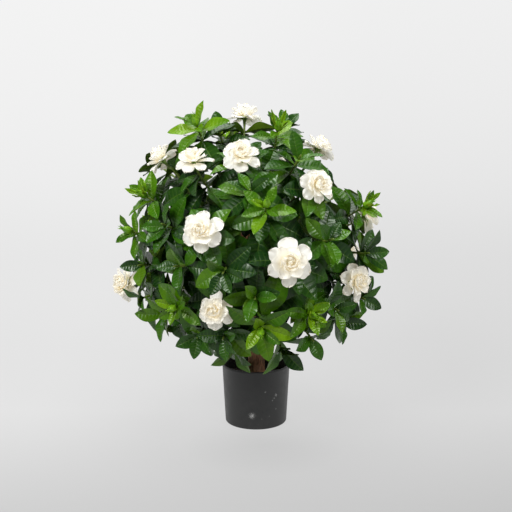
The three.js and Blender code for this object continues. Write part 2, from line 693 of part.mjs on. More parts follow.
function solidTriangles(solid) {
  const { vertProperties, triVerts } = solid.getMesh();
  const points = [];
  for (let i = 0; i < vertProperties.length; i += 3) points.push(vec(vertProperties.slice(i, i + 3)));
  const triangles = [];
  for (let i = 0; i < triVerts.length; i += 3) triangles.push([...triVerts.slice(i, i + 3)]);
  return trianglesOf(points, triangles);
}

// A leaf as loose triangles, from a little way off its stem to its tip
function looseLeaf(leaf, { from, fat }) {
  const wing = new THREE.Vector3().crossVectors(leaf.along, leaf.face);
  const blade = bladePoints(leaf, LEAF_FORM, fat);
  const corner = (side, way) => {
    const atStem = leaf.base.clone().addScaledVector(leaf.along, STEM.end / 2);
    atStem.addScaledVector(wing, side * (STEM.end * Math.sin(Math.PI / STEM.sides) + fat));
    atStem.addScaledVector(leaf.face, way * (STEM.nodeHeight / 2 + fat));
    return atStem.lerp(side > 0 ? blade[0] : blade[4], from / LEAF_FORM.first);
  };
  const points = [corner(1, 1), corner(-1, 1), corner(1, -1), corner(-1, -1), ...blade];
  return trianglesOf(points, bladeTriangles([0, 1, 2, 3], 4));
}

// Gives every whorl its leaves: each one takes the first place where it is clear, young ones first.
// stand holds what stands already, and with it the leaves down to their roots. blades leaves the roots out.
function growLeaves(shoots, stand, blades) {
  for (const young of [true, false]) {
    for (const shoot of shoots) {
      for (const whorl of shoot.whorls) {
        if (whorl.young !== young) continue;
        whorl.leaves = [];
        for (let i = 0; i < WHORL_LEAVES; i++) {
          const leaf = clearLeaf(shoot, whorl, i, stand, blades);
          whorl.leaves.push(leaf);
          if (!leaf) continue;
          blades.add(looseLeaf(leaf, THIN));
          stand.add(looseLeaf(leaf, ROOT), shoot);
        }
      }
    }
  }
}

function clearLeaf(shoot, whorl, i, stand, blades) {
  const own = (owner) => owner === shoot || owner === shoot.spray;
  const isClear = (leaf) =>
    blades.isClear(looseLeaf(leaf, THIN)) &&
    blades.isClear(looseLeaf(leaf, FAT)) &&
    stand.isClear(looseLeaf(leaf, THIN)) &&
    stand.isClear(looseLeaf(leaf, FAT), own) &&
    stand.isClear(looseLeaf(leaf, ROOT), own);
  for (const shorten of TRY_LENGTHS) {
    for (const tilt of TRY_ANGLES) {
      for (const turn of TRY_AZIMUTHS) {
        const leaf = leafAt(shoot, whorl, i, turn, tilt, shorten);
        if (isClear(leaf)) return leaf;
      }
    }
  }
  return null;
}

// What a shoot's green stem ends in: the cup under its bloom, the joint with its tip, or a bud
function stemEnd(shoot) {
  if (shoot.kind === "bloom") return CALYX;
  if (shoot.kind === "plain") return BUD;
  return [{ behind: TIP_STEM.length + JOINT_GAP, radius: STEM.end }];
}

// The part of a shoot that belongs to its spray, with its old leaves once these have grown
function sprayStem(shoot) {
  const whorls = shoot.whorls.filter((whorl) => !whorl.young);
  return solidOf(leafyStem(shoot, { behind: shoot.speed, radius: STEM.root }, whorls, stemEnd(shoot)));
}

// The young end of a shoot, with its bud
function tipStem(shoot) {
  const whorls = shoot.whorls.filter((whorl) => whorl.young);
  return solidOf(leafyStem(shoot, { behind: TIP_STEM.length, radius: TIP_STEM.radius }, whorls, BUD));
}

function makeStub(spray) {
  const line = new THREE.LineCurve3(spray.root, spray.root.clone().addScaledVector(spray.out, STUB.length));
  return solidOf(taperedTube(line, 0, 1, STUB));
}

function makeSpray(spray) {
  return wasm.Manifold.union([makeStub(spray), ...spray.shoots.map(sprayStem)]);
}

function number(n) {
  return String(n + 1).padStart(2, "0");
}

function build() {
  const shoots = placeShoots();
  shoots.forEach((shoot, n) => {
    shoot.index = n;
    shoot.whorls = whorlsOf(shoot);
  });
  const sprays = groupSprays(shoots);
  const blooms = shoots.filter((shoot) => shoot.kind === "bloom");
  const tips = shoots.filter((shoot) => shoot.kind === "young");

  const parts = [];
  const put = (name, solid, colour) => parts.push({ name, solid, colour });
  put("pot", makePot(), COLOURS.pot);
  put("soil", makeSoil(), COLOURS.soil);
  put("trunk", makeWood(sprays), COLOURS.wood);
  blooms.forEach((shoot, n) => put("bloom_" + number(n), makeBloom(shoot), COLOURS.petal));
  const stand = new Thicket();
  for (const { solid } of parts) stand.add(solidTriangles(solid));
  for (const spray of sprays) stand.add(solidTriangles(makeStub(spray)), spray);
  for (const shoot of shoots) routeStem(shoot, stand);
  growLeaves(shoots, stand, new Thicket());
  sprays.forEach((spray, n) => put("spray_" + number(n), makeSpray(spray), COLOURS.oldLeaf));
  tips.forEach((shoot, n) => put("tip_" + number(n), tipStem(shoot), COLOURS.youngLeaf));

  const plant = new THREE.Group();
  for (const { name, solid, colour } of parts) {
    const material = new THREE.MeshStandardMaterial({ metalness: 0, ...colour });
    const mesh = new THREE.Mesh(geometryOf(solid), material);
    mesh.name = name;
    plant.add(mesh);
  }
  return plant;
}

export default build();
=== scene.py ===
# Dresses the potted gardenia: fine leaves, petals, stems, bark, soil and pot in place of its faceted
# solids, in a plain pale studio, with the camera at the picture's viewing angle.
# Metres, +Z up, and the viewer looks along +Y.
import math

import bmesh
import bpy
import numpy as np
from mathutils import Matrix, Vector, noise
from mathutils.bvhtree import BVHTree


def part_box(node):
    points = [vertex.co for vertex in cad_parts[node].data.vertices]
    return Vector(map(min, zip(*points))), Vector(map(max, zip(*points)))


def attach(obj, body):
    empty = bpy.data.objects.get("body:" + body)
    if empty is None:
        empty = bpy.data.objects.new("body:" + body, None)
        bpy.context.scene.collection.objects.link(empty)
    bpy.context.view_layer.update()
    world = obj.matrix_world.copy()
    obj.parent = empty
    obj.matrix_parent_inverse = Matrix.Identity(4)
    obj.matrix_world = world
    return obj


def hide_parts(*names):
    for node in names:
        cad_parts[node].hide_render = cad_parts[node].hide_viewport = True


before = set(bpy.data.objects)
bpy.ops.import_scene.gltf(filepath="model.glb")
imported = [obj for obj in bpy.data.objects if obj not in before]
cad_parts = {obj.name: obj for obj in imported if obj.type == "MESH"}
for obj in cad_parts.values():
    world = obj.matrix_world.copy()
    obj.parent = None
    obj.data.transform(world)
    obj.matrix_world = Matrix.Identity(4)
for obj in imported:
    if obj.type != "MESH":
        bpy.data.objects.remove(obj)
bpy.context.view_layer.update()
BODY = "root"
MM = 0.001

# Camera and studio
CAMERA = {
    "place": (0.0225, -2.7709, 1.0312),
    "pitch": -13.378,
    "yaw": -0.464,
    "lens": 92.98,
    "sensor": 36,
}
FLOOR = {"near": -5.0, "far": 2.2, "half_width": 6.0, "bend": 2.0, "top": 5.0, "steps": 24}
# Painted light on the paper: how bright it glows at places along Y, how that falls off from left to right,
# and the painted shadow by the pot's foot
PAPER_PAINTED_LIGHT = [(-0.7, 0.42), (0.05, 0.622), (1.55, 0.69), (4.0, 0.85)]
PAPER_PAINTED_SIDE_LIGHT = {"near": 0.07, "far": 0.015, "reach": 0.5}
FOOT_PAINTED_SHADOW = {"middle": (0.02, -0.15, 0), "radius": 0.17, "strength": 0.1}
PAPER_ALBEDO = 0.08
WORLD_LIGHT = {"colour": (1.0, 1.0, 1.0), "strength": 0.06}
LIGHT_AIM = (0, 0, 0.4)
LIGHTS = [
    {"name": "left_box", "place": (-1.5, -2.0, 2.3), "size": 1.1, "power": 84},
    {"name": "right_box", "place": (1.9, -1.7, 2.0), "size": 1.1, "power": 48},
    {"name": "top_box", "place": (0, 0.3, 2.6), "size": 1.5, "power": 46},
]

# Blades of the solids: how their outline points lie, as shares of length and width
MERGE = 5e-6
RIB_EDGES = 7
EDGE_POINTS = 5
BLADE_RIB = {"leaf": 0.48, "petal": 0.45}
BLADE_FIRST = {"leaf": (0.34, 0.94), "petal": (0.48, 0.78)}
BLADE_SECOND = {"leaf": 0.7, "petal": 0.84}

# Leaves
LEAF_COLUMNS = (-1, -0.8, -0.48, -0.13, 0, 0.13, 0.48, 0.8, 1)
LEAF_VEINS = 8
ROWS_PER_VEIN = 2
LEAF = {
    "shift": 1.1,
    "ends": 0.84,
    "stalk": 1.1 * MM,
    "thickness": 0.45 * MM,
    "foot": 0.6 * MM,
    "sweep": 0.13,
}
LEAF_WIDEN = {"leafy": 1.04, "young": 0.95}
LEAF_RELIEF = {
    "bulge": 1.0 * MM,
    "groove": 0.9 * MM,
    "groove_width": 0.2,
    "fold": 0.28,
    "wave": 1.6 * MM,
    "waves": 1.6,
    "wave_shift": 1.3,
    "twist": 16,
}
LEAF_TONE_BEND = 1.3

# The materials of a piece of foliage, in order
LEAF_TOP, LEAF_UNDERSIDE, LEAF_STEM, LEAF_BUD = range(4)

# Smaller leaves that grow between those of the solids, where there is room
BETWEEN = {
    "share": 0.9,
    "chance": 0.75,
    "ahead": 4 * MM,
    "inset": 1.2 * MM,
    "clearance": 1.2 * MM,
    "start": 0.12,
}
BETWEEN_TURNS = (60, -60, 48, -48, 72, -72)
BETWEEN_TILTS = (-8, 6, -20, 16, -32)

# Stems, buds and the narrow new leaves of every second tip
STEM_SWELL = 1.0 * MM
BUD = {
    "radius": 8.8 * MM,
    "length": 33 * MM,
    "sink": 17 * MM,
    "sides": 15,
    "rings": 14,
    "ribs": 5,
    "rib_height": 0.12,
    "twist": 0.6,
    "taper": 0.35,
}
BUD_HORNS = {
    "count": 5,
    "length": 9 * MM,
    "radius": 1.1 * MM,
    "start": 0.82,
    "ring": 0.3,
    "lean": 0.25,
    "rings": 5,
    "sides": 5,
    "taper": 0.98,
}
FRESH = {
    "every": 2,
    "count": 4,
    "length": 34 * MM,
    "half": 5 * MM,
    "lean": 34,
    "foot": 3 * MM,
    "sink": 6 * MM,
    "sag": 0.05,
    "lift": 0.08,
    "tone": 1.0,
}
FRESH_CHANCE = {"place": 6, "lean": 8, "length": 0.2}

# Petals
PETAL_ROWS = 14
PETAL_COLUMNS = 12
PETAL_FORM = {"thickness": 0.7 * MM, "thinning": 0.4, "foot": 1.6 * MM, "widest": 1.12, "bowl": 0.6}
PETAL_EDGE = {
    "rounding": 0.1,
    "notch": 0.11,
    "notch_width": 0.3,
    "wave": 2.0 * MM,
    "waves": 1.1,
    "ripple": 0.6 * MM,
    "ripples": 9,
}
PETAL_CHANCE = {"length": 0.13, "width": 0.14, "turn": 5, "notch_place": 0.35}

# A bloom's petals from the outside in: the whorls of its solid, and the small ones in its heart.
# draw numbers the first petal of each, for its draws.
WHORLS = [
    {"count": 6, "draw": 0, "cup": 0.14, "curl": 0.04, "widen": 1.12, "turn": 13, "warmth": 0.0},
    {"count": 6, "draw": 10, "cup": 0.35, "curl": 0.06, "widen": 1.35, "turn": 15, "warmth": 0.15},
    {"count": 3, "draw": 20, "cup": 0.5, "curl": 0.04, "widen": 1.25, "turn": 14, "warmth": 0.5},
]
HEART = {"draw": 26, "cup": 0.4, "curl": 0.05, "widen": 1.0, "turn": 12, "warmth": 0.9}
DRAWS_PER_BLOOM = 40
OUTER_PETAL_WIDTH = 29 * MM
ROSETTE = [
    {"count": 5, "height": 6, "radius": 5, "angle": 47, "length": 23, "width": 23, "arch": -0.8},
    {"count": 4, "height": 7, "radius": 4.5, "angle": 37, "length": 21, "width": 19, "arch": -1.0},
    {"count": 3, "height": 8, "radius": 3, "angle": 27, "length": 18, "width": 15, "arch": -1.1},
    {"count": 2, "height": 9, "radius": 1.5, "angle": 16, "length": 15, "width": 12, "arch": -0.9},
]
ROSETTE_STEP = 0.37
ROSETTE_CHANCE = {"place": 0.42, "angle": 12, "length": 0.14}

# The green cup under a bloom, as radius and height in mm, and its sepals
CALYX = [(0.6, -13), (2.2, -12), (2.6, -9), (4.2, -4), (6.2, 0), (8.0, 3.5)]
CALYX_SIDES = 12
SEPALS = {
    "count": 6,
    "length": 17 * MM,
    "radius": 1.5 * MM,
    "height": -1 * MM,
    "ring": 5.5 * MM,
    "rings": 6,
    "sides": 5,
    "taper": 0.97,
    "reach": 0.9,
    "rise": 0.5,
    "droop": 0.75,
}
PETAL_WHITE, CALYX_PART = range(2)

# The pot and its drain holes, in mm
POT = {
    "segments": 144,
    "rim": 75,
    "foot": 67,
    "height": 134,
    "wall": 2.2,
    "floor": 3,
    "heel": 3.5,
    "heel_steps": 8,
    "lip": 5,
}
DRAIN = {"count": 4, "radius": 5, "ring": 42, "depth": 12, "sides": 24}
# Pale smudges on the pot's front, as x, height, radius and strength, and the ring that they lie on, in mm
SMUDGES = [
    (-8, 33, 10, 0.5),
    (-8, 33, 5, 0.7),
    (20, 88, 4, 0.25),
    (43, 76, 5, 0.4),
    (39, 70, 3, 0.4),
    (36, 66, 3, 0.3),
    (44, 44, 3, 0.2),
    (14, 25, 3, 0.3),
    (6, 12, 3, 0.25),
    (-32, 18, 3, 0.15),
    (30, 30, 3, 0.15),
]
SMUDGE_RING = 70
SMUDGE_FILM = 0.13
SPECKS = 0.07

# Soil and trunk
SOIL_FORM = {
    "segments": 110,
    "rings": 26,
    "hole": 21.3 * MM,
    "hole_floor": 48 * MM,
    "crown": 110 * MM,
    "edge": 104 * MM,
    "foot_inset": 5 * MM,
    "crumbs_above": 100 * MM,
    "crumb": 1.6 * MM,
    "coarse": 5 * MM,
    "fine": 2.2 * MM,
}
TRUNK_FORM = {
    "voxel": 1.9 * MM,
    "smoothing": 6,
    "limbs_above": 0.26,
    "limb_relief": 0.4,
    "stretch": 0.28,
    "grain": 5 * MM,
    "fine": 2.3,
    "swell": 0.5 * MM,
    "depth": 1.6 * MM,
}

# Edges sharper than this, in degrees, aren't rounded by shading
SHARP_ANGLE = 70

# Leaf colours from deep to pale, and the painted shade that darkens leaves inside the crown and the painted
# light that lightens them at its outside
OLD_TONES = [(0.007, 0.034, 0.004, 1), (0.029, 0.108, 0.002, 1), (0.08, 0.185, 0.003, 1)]
OLD_UNDER_TONES = [(0.04, 0.085, 0.008, 1), (0.075, 0.145, 0.008, 1), (0.12, 0.2, 0.01, 1)]
YOUNG_TONES = [(0.024, 0.095, 0.002, 1), (0.06, 0.165, 0.002, 1), (0.13, 0.26, 0.003, 1)]
YOUNG_UNDER_TONES = [(0.07, 0.14, 0.008, 1), (0.11, 0.21, 0.008, 1), (0.17, 0.28, 0.01, 1)]
YELLOW_SHEEN = (0.9, 1.0, 0.6, 1)
CROWN_PAINTED_SHADE = {"middle": (0, 0, 0.43), "inner": 0.14, "outer": 0.29, "dark": -0.42, "light": 0.05}


def chance(a, b):
    """A repeatable number from 0 to 1 for a thing's number and the number of its draw"""
    s = math.sin(a * 12.9898 + b * 78.233) * 43758.5453
    return s - math.floor(s)


def spread(a, b, size):
    """A repeatable number from -size to size"""
    return (2 * chance(a, b) - 1) * size


def unit(v):
    return v / np.linalg.norm(v)


# Pieces


def add_object(name, data):
    """An object in the scene"""
    thing = bpy.data.objects.new(name, data)
    bpy.context.scene.collection.objects.link(thing)
    return thing


def add_piece(name, vertices, faces, materials, face_materials, blades=None):
    """A mesh object from arrays, which rides on the body. blades has a vector for each vertex: its place
    along its blade, its place across it, and the blade's tone."""
    mesh = bpy.data.meshes.new(name)
    mesh.from_pydata([tuple(v) for v in vertices], [], [tuple(f) for f in faces])
    for material in materials:
        mesh.materials.append(material)
    mesh.polygons.foreach_set("material_index", np.asarray(face_materials, np.int32))
    if blades is not None:
        attribute = mesh.attributes.new("blade", "FLOAT_VECTOR", "POINT")
        attribute.data.foreach_set("vector", np.asarray(blades, np.float32).ravel())
    mesh.update()
    mesh.shade_smooth()
    mesh.set_sharp_from_angle(angle=math.radians(SHARP_ANGLE))
    piece = add_object(name, mesh)
    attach(piece, BODY)
    return piece


class Build:
    """Collects sheets and loose meshes into one piece"""

    def __init__(self):
        self.vertices = []
        self.faces = []
        self.materials = []
        self.blades = []
        self.count = 0

    def add(self, vertices, faces, material, blades=None):
        self.vertices.append(np.asarray(vertices, float))
        self.faces.extend((np.asarray(f) + self.count).tolist() for f in faces)
        self.materials.extend([material] * len(faces))
        self.blades.append(np.zeros((len(vertices), 3)) if blades is None else blades)
        self.count += len(vertices)

    def piece(self, name, materials):
        vertices = np.concatenate(self.vertices)
        blades = np.concatenate(self.blades)
        return add_piece(name, vertices, self.faces, materials, self.materials, blades)


def sheet_faces(rows, columns):
    """The faces of a thin closed sheet: a grid of rows by columns, above and under, that share their rim.
    Gives the upper faces and the lower faces."""
    upper = np.arange(rows * columns).reshape(rows, columns)
    lower = upper.copy()
    inner = (rows - 2) * (columns - 2)
    lower[1:-1, 1:-1] = rows * columns + np.arange(inner).reshape(rows - 2, columns - 2)

    def quads(grid, flip):
        a, b, c, d = grid[:-1, :-1], grid[:-1, 1:], grid[1:, 1:], grid[1:, :-1]
        corners = (a, d, c, b) if flip else (a, b, c, d)
        return np.stack(corners, -1).reshape(-1, 4)

    return quads(upper, False), quads(lower, True)


def sheet(build, surface, normals, thickness, materials, blades, faces):
    """Adds a thin closed sheet to build: surface and normals are grids of points, rows by columns"""
    upper = surface + normals * thickness[..., None] / 2
    lower = (surface - normals * thickness[..., None] / 2)[1:-1, 1:-1]
    vertices = np.concatenate([upper.reshape(-1, 3), lower.reshape(-1, 3)])
    coords = np.concatenate([blades.reshape(-1, 3), blades[1:-1, 1:-1].reshape(-1, 3)])
    start = build.count
    build.add(vertices, faces[0], materials[0], coords)
    build.faces.extend((faces[1] + start).tolist())
    build.materials.extend([materials[1]] * len(faces[1]))


# The blades of a node's solid


def merged(node):
    """The node's mesh with its shared vertices joined"""
    bm = bmesh.new()
    bm.from_mesh(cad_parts[node].data)
    bmesh.ops.remove_doubles(bm, verts=bm.verts, dist=MERGE)
    bm.verts.index_update()
    return bm


def neighbours(v):
    return {e.other_vert(v) for e in v.link_edges}


def in_order(vertices):
    """Vertices in the mesh's order, which is the same each run, unlike the order of a set"""
    return sorted(vertices, key=lambda v: v.index)


def middle_of(vertices):
    return np.mean([np.array(v.co) for v in in_order(vertices)], axis=0)


def find_blades(bm):
    """Pairs of rib points, above and under, which share the five points round a blade's edge"""
    found = []
    used = set()
    for v in bm.verts:
        if v in used or len(v.link_edges) != RIB_EDGES:
            continue
        near = neighbours(v)
        for other in in_order({w for n in near for w in neighbours(n)} - near - {v}):
            common = near & neighbours(other)
            if other in used or len(other.link_edges) != RIB_EDGES or len(common) != EDGE_POINTS:
                continue
            found.append((v, other, common, (near | neighbours(other)) - common))
            used |= {v, other}
            break
    return found


def edge_chain(common):
    """The points of a blade's edge in order, from one side of the root round the tip to the other"""
    ends = [v for v in in_order(common) if len(neighbours(v) & common) == 1]
    chain = [ends[0]]
    while len(chain) < len(common):
        chain += [v for v in in_order(neighbours(chain[-1]) & common) if v not in chain]
    return [np.array(v.co) for v in chain]


def read_blade(rib, under, common, corners, kind):
    """A blade as its root, middle and tip, its half width, the way across it and the way that it faces"""
    chain = edge_chain(common)
    root = middle_of(corners)
    middle = (np.array(rib.co) + np.array(under.co)) / 2
    tip = chain[2]
    wing = unit(chain[0] - chain[4] + chain[1] - chain[3])
    half = np.linalg.norm(chain[0] - chain[4]) / 2 / BLADE_FIRST[kind][1]
    blade = {"root": root, "middle": middle, "tip": tip, "half": half, "kind": kind}
    line = [line_at(blade, BLADE_FIRST[kind][0])[0], line_at(blade, BLADE_SECOND[kind])[0]]
    lift = np.mean([chain[0], chain[1], chain[3], chain[4]], axis=0) - np.mean(line, axis=0)
    face = unit(np.cross(wing, tip - root))
    if face @ lift < 0:
        wing = -wing
        face = -face
    axis = middle_of(neighbours(rib) - common) - middle_of(neighbours(under) - common)
    if axis @ face < 0:
        axis = -axis
    return {**blade, "wing": wing, "face": face, "axis": unit(axis), "length": np.linalg.norm(tip - root)}


def line_at(blade, s):
    """The point and the direction of a blade's middle line at a share s of its length"""
    m = BLADE_RIB[blade["kind"]]
    root, middle, tip = blade["root"], blade["middle"], blade["tip"]
    s = np.asarray(s, float)[..., None]
    point = (
        root * (s - m) * (s - 1) / m
        + middle * s * (s - 1) / (m * (m - 1))
        + tip * s * (s - m) / (1 - m)
    )
    way = (
        root * (2 * s - m - 1) / m
        + middle * (2 * s - 1) / (m * (m - 1))
        + tip * (2 * s - m) / (1 - m)
    )
    return point, way / np.linalg.norm(way, axis=-1, keepdims=True)


# Leaves


def leaf_width(s):
    """A leaf's half width as a share of its widest: widest near the middle, and pointed at both ends"""
    return np.clip(np.sin(math.pi * np.clip(s, 0, 1) ** LEAF["shift"]), 0, 1) ** LEAF["ends"]


LEAF_ROWS = LEAF_VEINS * ROWS_PER_VEIN + 1
LEAF_FACES = sheet_faces(LEAF_ROWS, len(LEAF_COLUMNS))


def add_leaf(build, blade, number):
    """A leaf whose rows of faces follow its side veins, raised between them and grooved along the rib"""
    q, t = np.meshgrid(np.linspace(0, 1, LEAF_ROWS), LEAF_COLUMNS, indexing="ij")
    s = q + LEAF["sweep"] * np.abs(t) * np.sin(math.pi * q) * (1 - q)
    point, way = line_at(blade, s)
    half = np.maximum(leaf_width(s) * blade["half"], LEAF["stalk"] * (1 - q) ** 0.25)
    turn = np.radians(spread(number, 1, LEAF_RELIEF["twist"])) * s[..., None]
    up = np.cross(blade["wing"], way)
    wing = blade["wing"] * np.cos(turn) + up * np.sin(turn)
    normal = np.cross(wing, way)
    across = t * half
    body = np.clip(leaf_width(s), 0, 1)
    fold = LEAF_RELIEF["fold"] * np.abs(t) ** 1.3 * half
    bulge = LEAF_RELIEF["bulge"] * np.sin(math.pi * LEAF_VEINS * q) ** 2 * (1 - t**4) * body
    groove = LEAF_RELIEF["groove"] * (1 - np.clip(np.abs(t) / LEAF_RELIEF["groove_width"], 0, 1)) * body
    phase = 2 * math.pi * chance(number, 2)
    swing = 2 * math.pi * LEAF_RELIEF["waves"] * q + phase + LEAF_RELIEF["wave_shift"] * np.sign(t)
    wave = LEAF_RELIEF["wave"] * np.sin(swing) * t**2 * body
    surface = point + wing * across[..., None] + normal * (fold + bulge - groove + wave)[..., None]
    thickness = np.full(q.shape, LEAF["thickness"]) + LEAF["foot"] * (1 - q) ** 6
    tone = np.full(q.shape, blade.get("tone", chance(number, 3) ** LEAF_TONE_BEND))
    materials = (LEAF_TOP, LEAF_UNDERSIDE)
    sheet(build, surface, normal, thickness, materials, np.stack([q, t, tone], -1), LEAF_FACES)


# Stems


def walk_round(corners):
    """Points in the order in which their edges join them"""
    cycle = in_order(corners)[:1]
    while len(cycle) < len(corners):
        following = [v for v in in_order(neighbours(cycle[-1]) & corners) if v not in cycle]
        if not following:
            break
        cycle.append(following[0])
    return cycle


def bare_stems(bm, blades):
    """The node's stems without its blades: the gaps that these leave are closed, and all is rounded"""
    patches = [walk_round(corners) for *_, corners in blades]
    gone = {v for rib, under, common, _ in blades for v in (rib, under, *common)}
    bmesh.ops.delete(bm, geom=in_order(gone), context="VERTS")
    for patch in patches:
        if len(patch) == 4 and not bm.faces.get(patch):
            bm.faces.new(patch)
    bmesh.ops.holes_fill(bm, edges=[e for e in bm.edges if e.is_boundary], sides=8)
    bmesh.ops.recalc_face_normals(bm, faces=bm.faces)
    mesh = bpy.data.meshes.new("stems")
    bm.to_mesh(mesh)
    shape = add_object("stems", mesh)
    rounding = shape.modifiers.new("round", "SUBSURF")
    rounding.levels = 2
    result = applied(shape)
    points = np.array([v.co for v in result.vertices], float).reshape(-1, 3)
    normals = np.array([v.normal for v in result.vertices], float).reshape(-1, 3)
    faces = [list(p.vertices) for p in result.polygons]
    bpy.data.objects.remove(shape)
    return points + normals * STEM_SWELL, faces


def applied(shape):
    """The mesh of an object with its modifiers applied"""
    graph = bpy.context.evaluated_depsgraph_get()
    graph.update()
    return bpy.data.meshes.new_from_object(shape.evaluated_get(graph))


def add_tube(build, centres, radii, u, v, material):
    """A round shape along a line of points: radii has a row for each point and a column for each side"""
    rings, sides = radii.shape
    angle = np.arange(sides) * 2 * math.pi / sides
    around = np.cos(angle)[:, None] * u + np.sin(angle)[:, None] * v
    points = (centres[:, None, :] + radii[..., None] * around).reshape(-1, 3)
    faces = []
    for r in range(rings - 1):
        for j in range(sides):
            a, b = r * sides + j, r * sides + (j + 1) % sides
            faces.append((a, b, b + sides, a + sides))
    build.add(points, faces, material)


def two_across(way):
    """Two unit vectors square to a third"""
    u = unit(np.cross(way, (0.3, 0.9, 0.1)))
    return u, np.cross(way, u)


def shoot_end(bm):
    """The point in which the stem of a tip ends, and its way"""
    (apex,) = [v for v in bm.verts if len(v.link_edges) == 3]
    end = np.array(apex.co)
    return end, unit(end - middle_of(neighbours(apex)))


def add_bud(build, apex, way, material):
    """A plump ribbed bud round the end of a stem, with the narrow tips of its sepals"""
    u, v = two_across(way)
    s = np.linspace(0, 1, BUD["rings"])
    angle = np.arange(BUD["sides"]) * 2 * math.pi / BUD["sides"]
    shape = np.sin(math.pi * s**0.8) ** 0.8 * (1 - BUD["taper"] * s)
    twisted = np.cos(BUD["ribs"] * (angle[None, :] + BUD["twist"] * s[:, None]))
    radii = BUD["radius"] * shape[:, None] * (1 + BUD["rib_height"] * twisted)
    foot = apex - way * BUD["sink"]
    add_tube(build, foot + (s * BUD["length"])[:, None] * way, radii, u, v, material)
    horn = BUD_HORNS
    t = np.linspace(0, 1, horn["rings"])
    for k in range(horn["count"]):
        a = 2 * math.pi * k / horn["count"]
        outward = u * math.cos(a) + v * math.sin(a)
        start = foot + way * BUD["length"] * horn["start"] + outward * BUD["radius"] * horn["ring"]
        centres = start + horn["length"] * (way * t[:, None] + outward * horn["lean"] * t[:, None] ** 2)
        radii = horn["radius"] * np.sqrt(1 - horn["taper"] * t**2)[:, None] * np.ones((1, horn["sides"]))
        add_tube(build, centres, radii, u, v, material)


def fresh_leaves(apex, way, number):
    """Narrow upright new leaves round the bud"""
    u, v = two_across(way)
    found = []
    for k in range(FRESH["count"]):
        a = 2 * math.pi * k / FRESH["count"] + chance(number, 30) * FRESH_CHANCE["place"]
        lean = math.radians(FRESH["lean"] + spread(number, 31 + k, FRESH_CHANCE["lean"]))
        radial = u * math.cos(a) + v * math.sin(a)
        along = way * math.cos(lean) + radial * math.sin(lean)
        face = way * math.sin(lean) - radial * math.cos(lean)
        length = FRESH["length"] * (1 + spread(number, 41 + k, FRESH_CHANCE["length"]))
        root = apex - way * FRESH["sink"] + radial * FRESH["foot"]
        leaf = {
            "kind": "leaf",
            "root": root,
            "middle": root + along * length * 0.5 - face * length * FRESH["sag"],
            "tip": root + along * length + face * length * FRESH["lift"],
            "half": FRESH["half"],
            "wing": np.cross(along, face),
            "face": face,
            "length": length,
            "tone": FRESH["tone"],
        }
        if THICKET.takes(leaf):
            found.append(leaf)
    return found


def turned(v, axis, angle):
    """The vector v turned about a unit axis"""
    parallel = axis * (v @ axis)
    return parallel + (v - parallel) * math.cos(angle) + np.cross(axis, v) * math.sin(angle)


def between_leaf(blade, centre, turn, tilt):
    """A smaller copy of a leaf, turned about its stem and tilted, a little nearer to the shoot's end"""
    axis = blade["axis"]
    root, tip = blade["root"], blade["tip"]
    size = BETWEEN["share"]

    def moved(p):
        arm = turned((p - root) * size, blade["wing"], math.radians(tilt))
        return centre + turned(arm + (root - centre), axis, math.radians(turn)) + axis * BETWEEN["ahead"]

    return {
        **blade,
        "root": moved(root),
        "middle": moved(blade["middle"]),
        "tip": moved(tip),
        "wing": turned(blade["wing"], axis, math.radians(turn)),
        "face": turned(blade["face"], axis, math.radians(turn)),
        "half": blade["half"] * size,
        "length": blade["length"] * size,
    }


def coarse_leaf(blade):
    """A leaf as a few faces, from a little off its stem, for tests of clearance"""
    s = np.linspace(BETWEEN["start"], 1, 5)
    point, way = line_at(blade, s)
    half = leaf_width(s) * blade["half"] + BETWEEN["clearance"]
    up = np.cross(blade["wing"], way) * BETWEEN["clearance"]
    fold = np.cross(blade["wing"], way) * (LEAF_RELIEF["fold"] * half)[:, None]
    left = point - blade["wing"] * half[:, None] + fold
    right = point + blade["wing"] * half[:, None] + fold
    points = []
    faces = []
    for offset in (up, -up):
        start = len(points)
        rows = np.stack([left + offset, point + offset, right + offset], 1).reshape(-1, 3)
        points += rows.tolist()
        for r in range(len(s) - 1):
            for c in range(2):
                a = start + 3 * r + c
                faces.append((a, a + 1, a + 4, a + 3))
    return points, faces


class Thicket:
    """The solids of all nodes and the leaves that are added, to test new leaves against"""

    def __init__(self):
        points = []
        faces = []
        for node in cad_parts.values():
            start = len(points)
            points += [v.co[:] for v in node.data.vertices]
            faces += [[start + k for k in p.vertices] for p in node.data.polygons]
        self.trees = [BVHTree.FromPolygons(points, faces)]

    def takes(self, blade):
        """Adds the leaf if it is clear of everything"""
        tree = BVHTree.FromPolygons(*coarse_leaf(blade))
        if any(tree.overlap(other) for other in self.trees):
            return False
        self.trees.append(tree)
        return True


def leaves_between(blades):
    """Up to one more leaf beside each leaf of the solids"""
    added = []
    for n, blade in enumerate(blades):
        if chance(n, 11) > BETWEEN["chance"]:
            continue
        centre = blade["root"] - np.cross(blade["wing"], blade["axis"]) * BETWEEN["inset"]
        for turn, tilt in [(a, b) for b in BETWEEN_TILTS for a in BETWEEN_TURNS]:
            leaf = between_leaf(blade, centre, turn, tilt)
            if THICKET.takes(leaf):
                added.append(leaf)
                break
    return added


def make_foliage(node, kind, materials, first):
    """Leaves and stems in place of a spray, or of a tip, which also has a bud. Gives how many leaves."""
    bm = merged(node)
    found = find_blades(bm)
    blades = [read_blade(*blade, "leaf") for blade in found]
    for blade in blades:
        blade["half"] *= LEAF_WIDEN[kind]
    blades += leaves_between(blades)
    build = Build()
    if kind == "young":
        end = shoot_end(bm)
        add_bud(build, *end, LEAF_BUD)
        if int(node[-2:]) % FRESH["every"] == 0:
            blades += fresh_leaves(*end, first)
    for n, blade in enumerate(blades):
        add_leaf(build, blade, first + n)
    points, faces = bare_stems(bm, found)
    bm.free()
    build.add(points, faces, LEAF_STEM)
    piece = build.piece(kind + "_" + node, materials)
    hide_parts(node)
    return len(blades)


# Blooms


PETAL_FACES = sheet_faces(PETAL_ROWS, PETAL_COLUMNS)


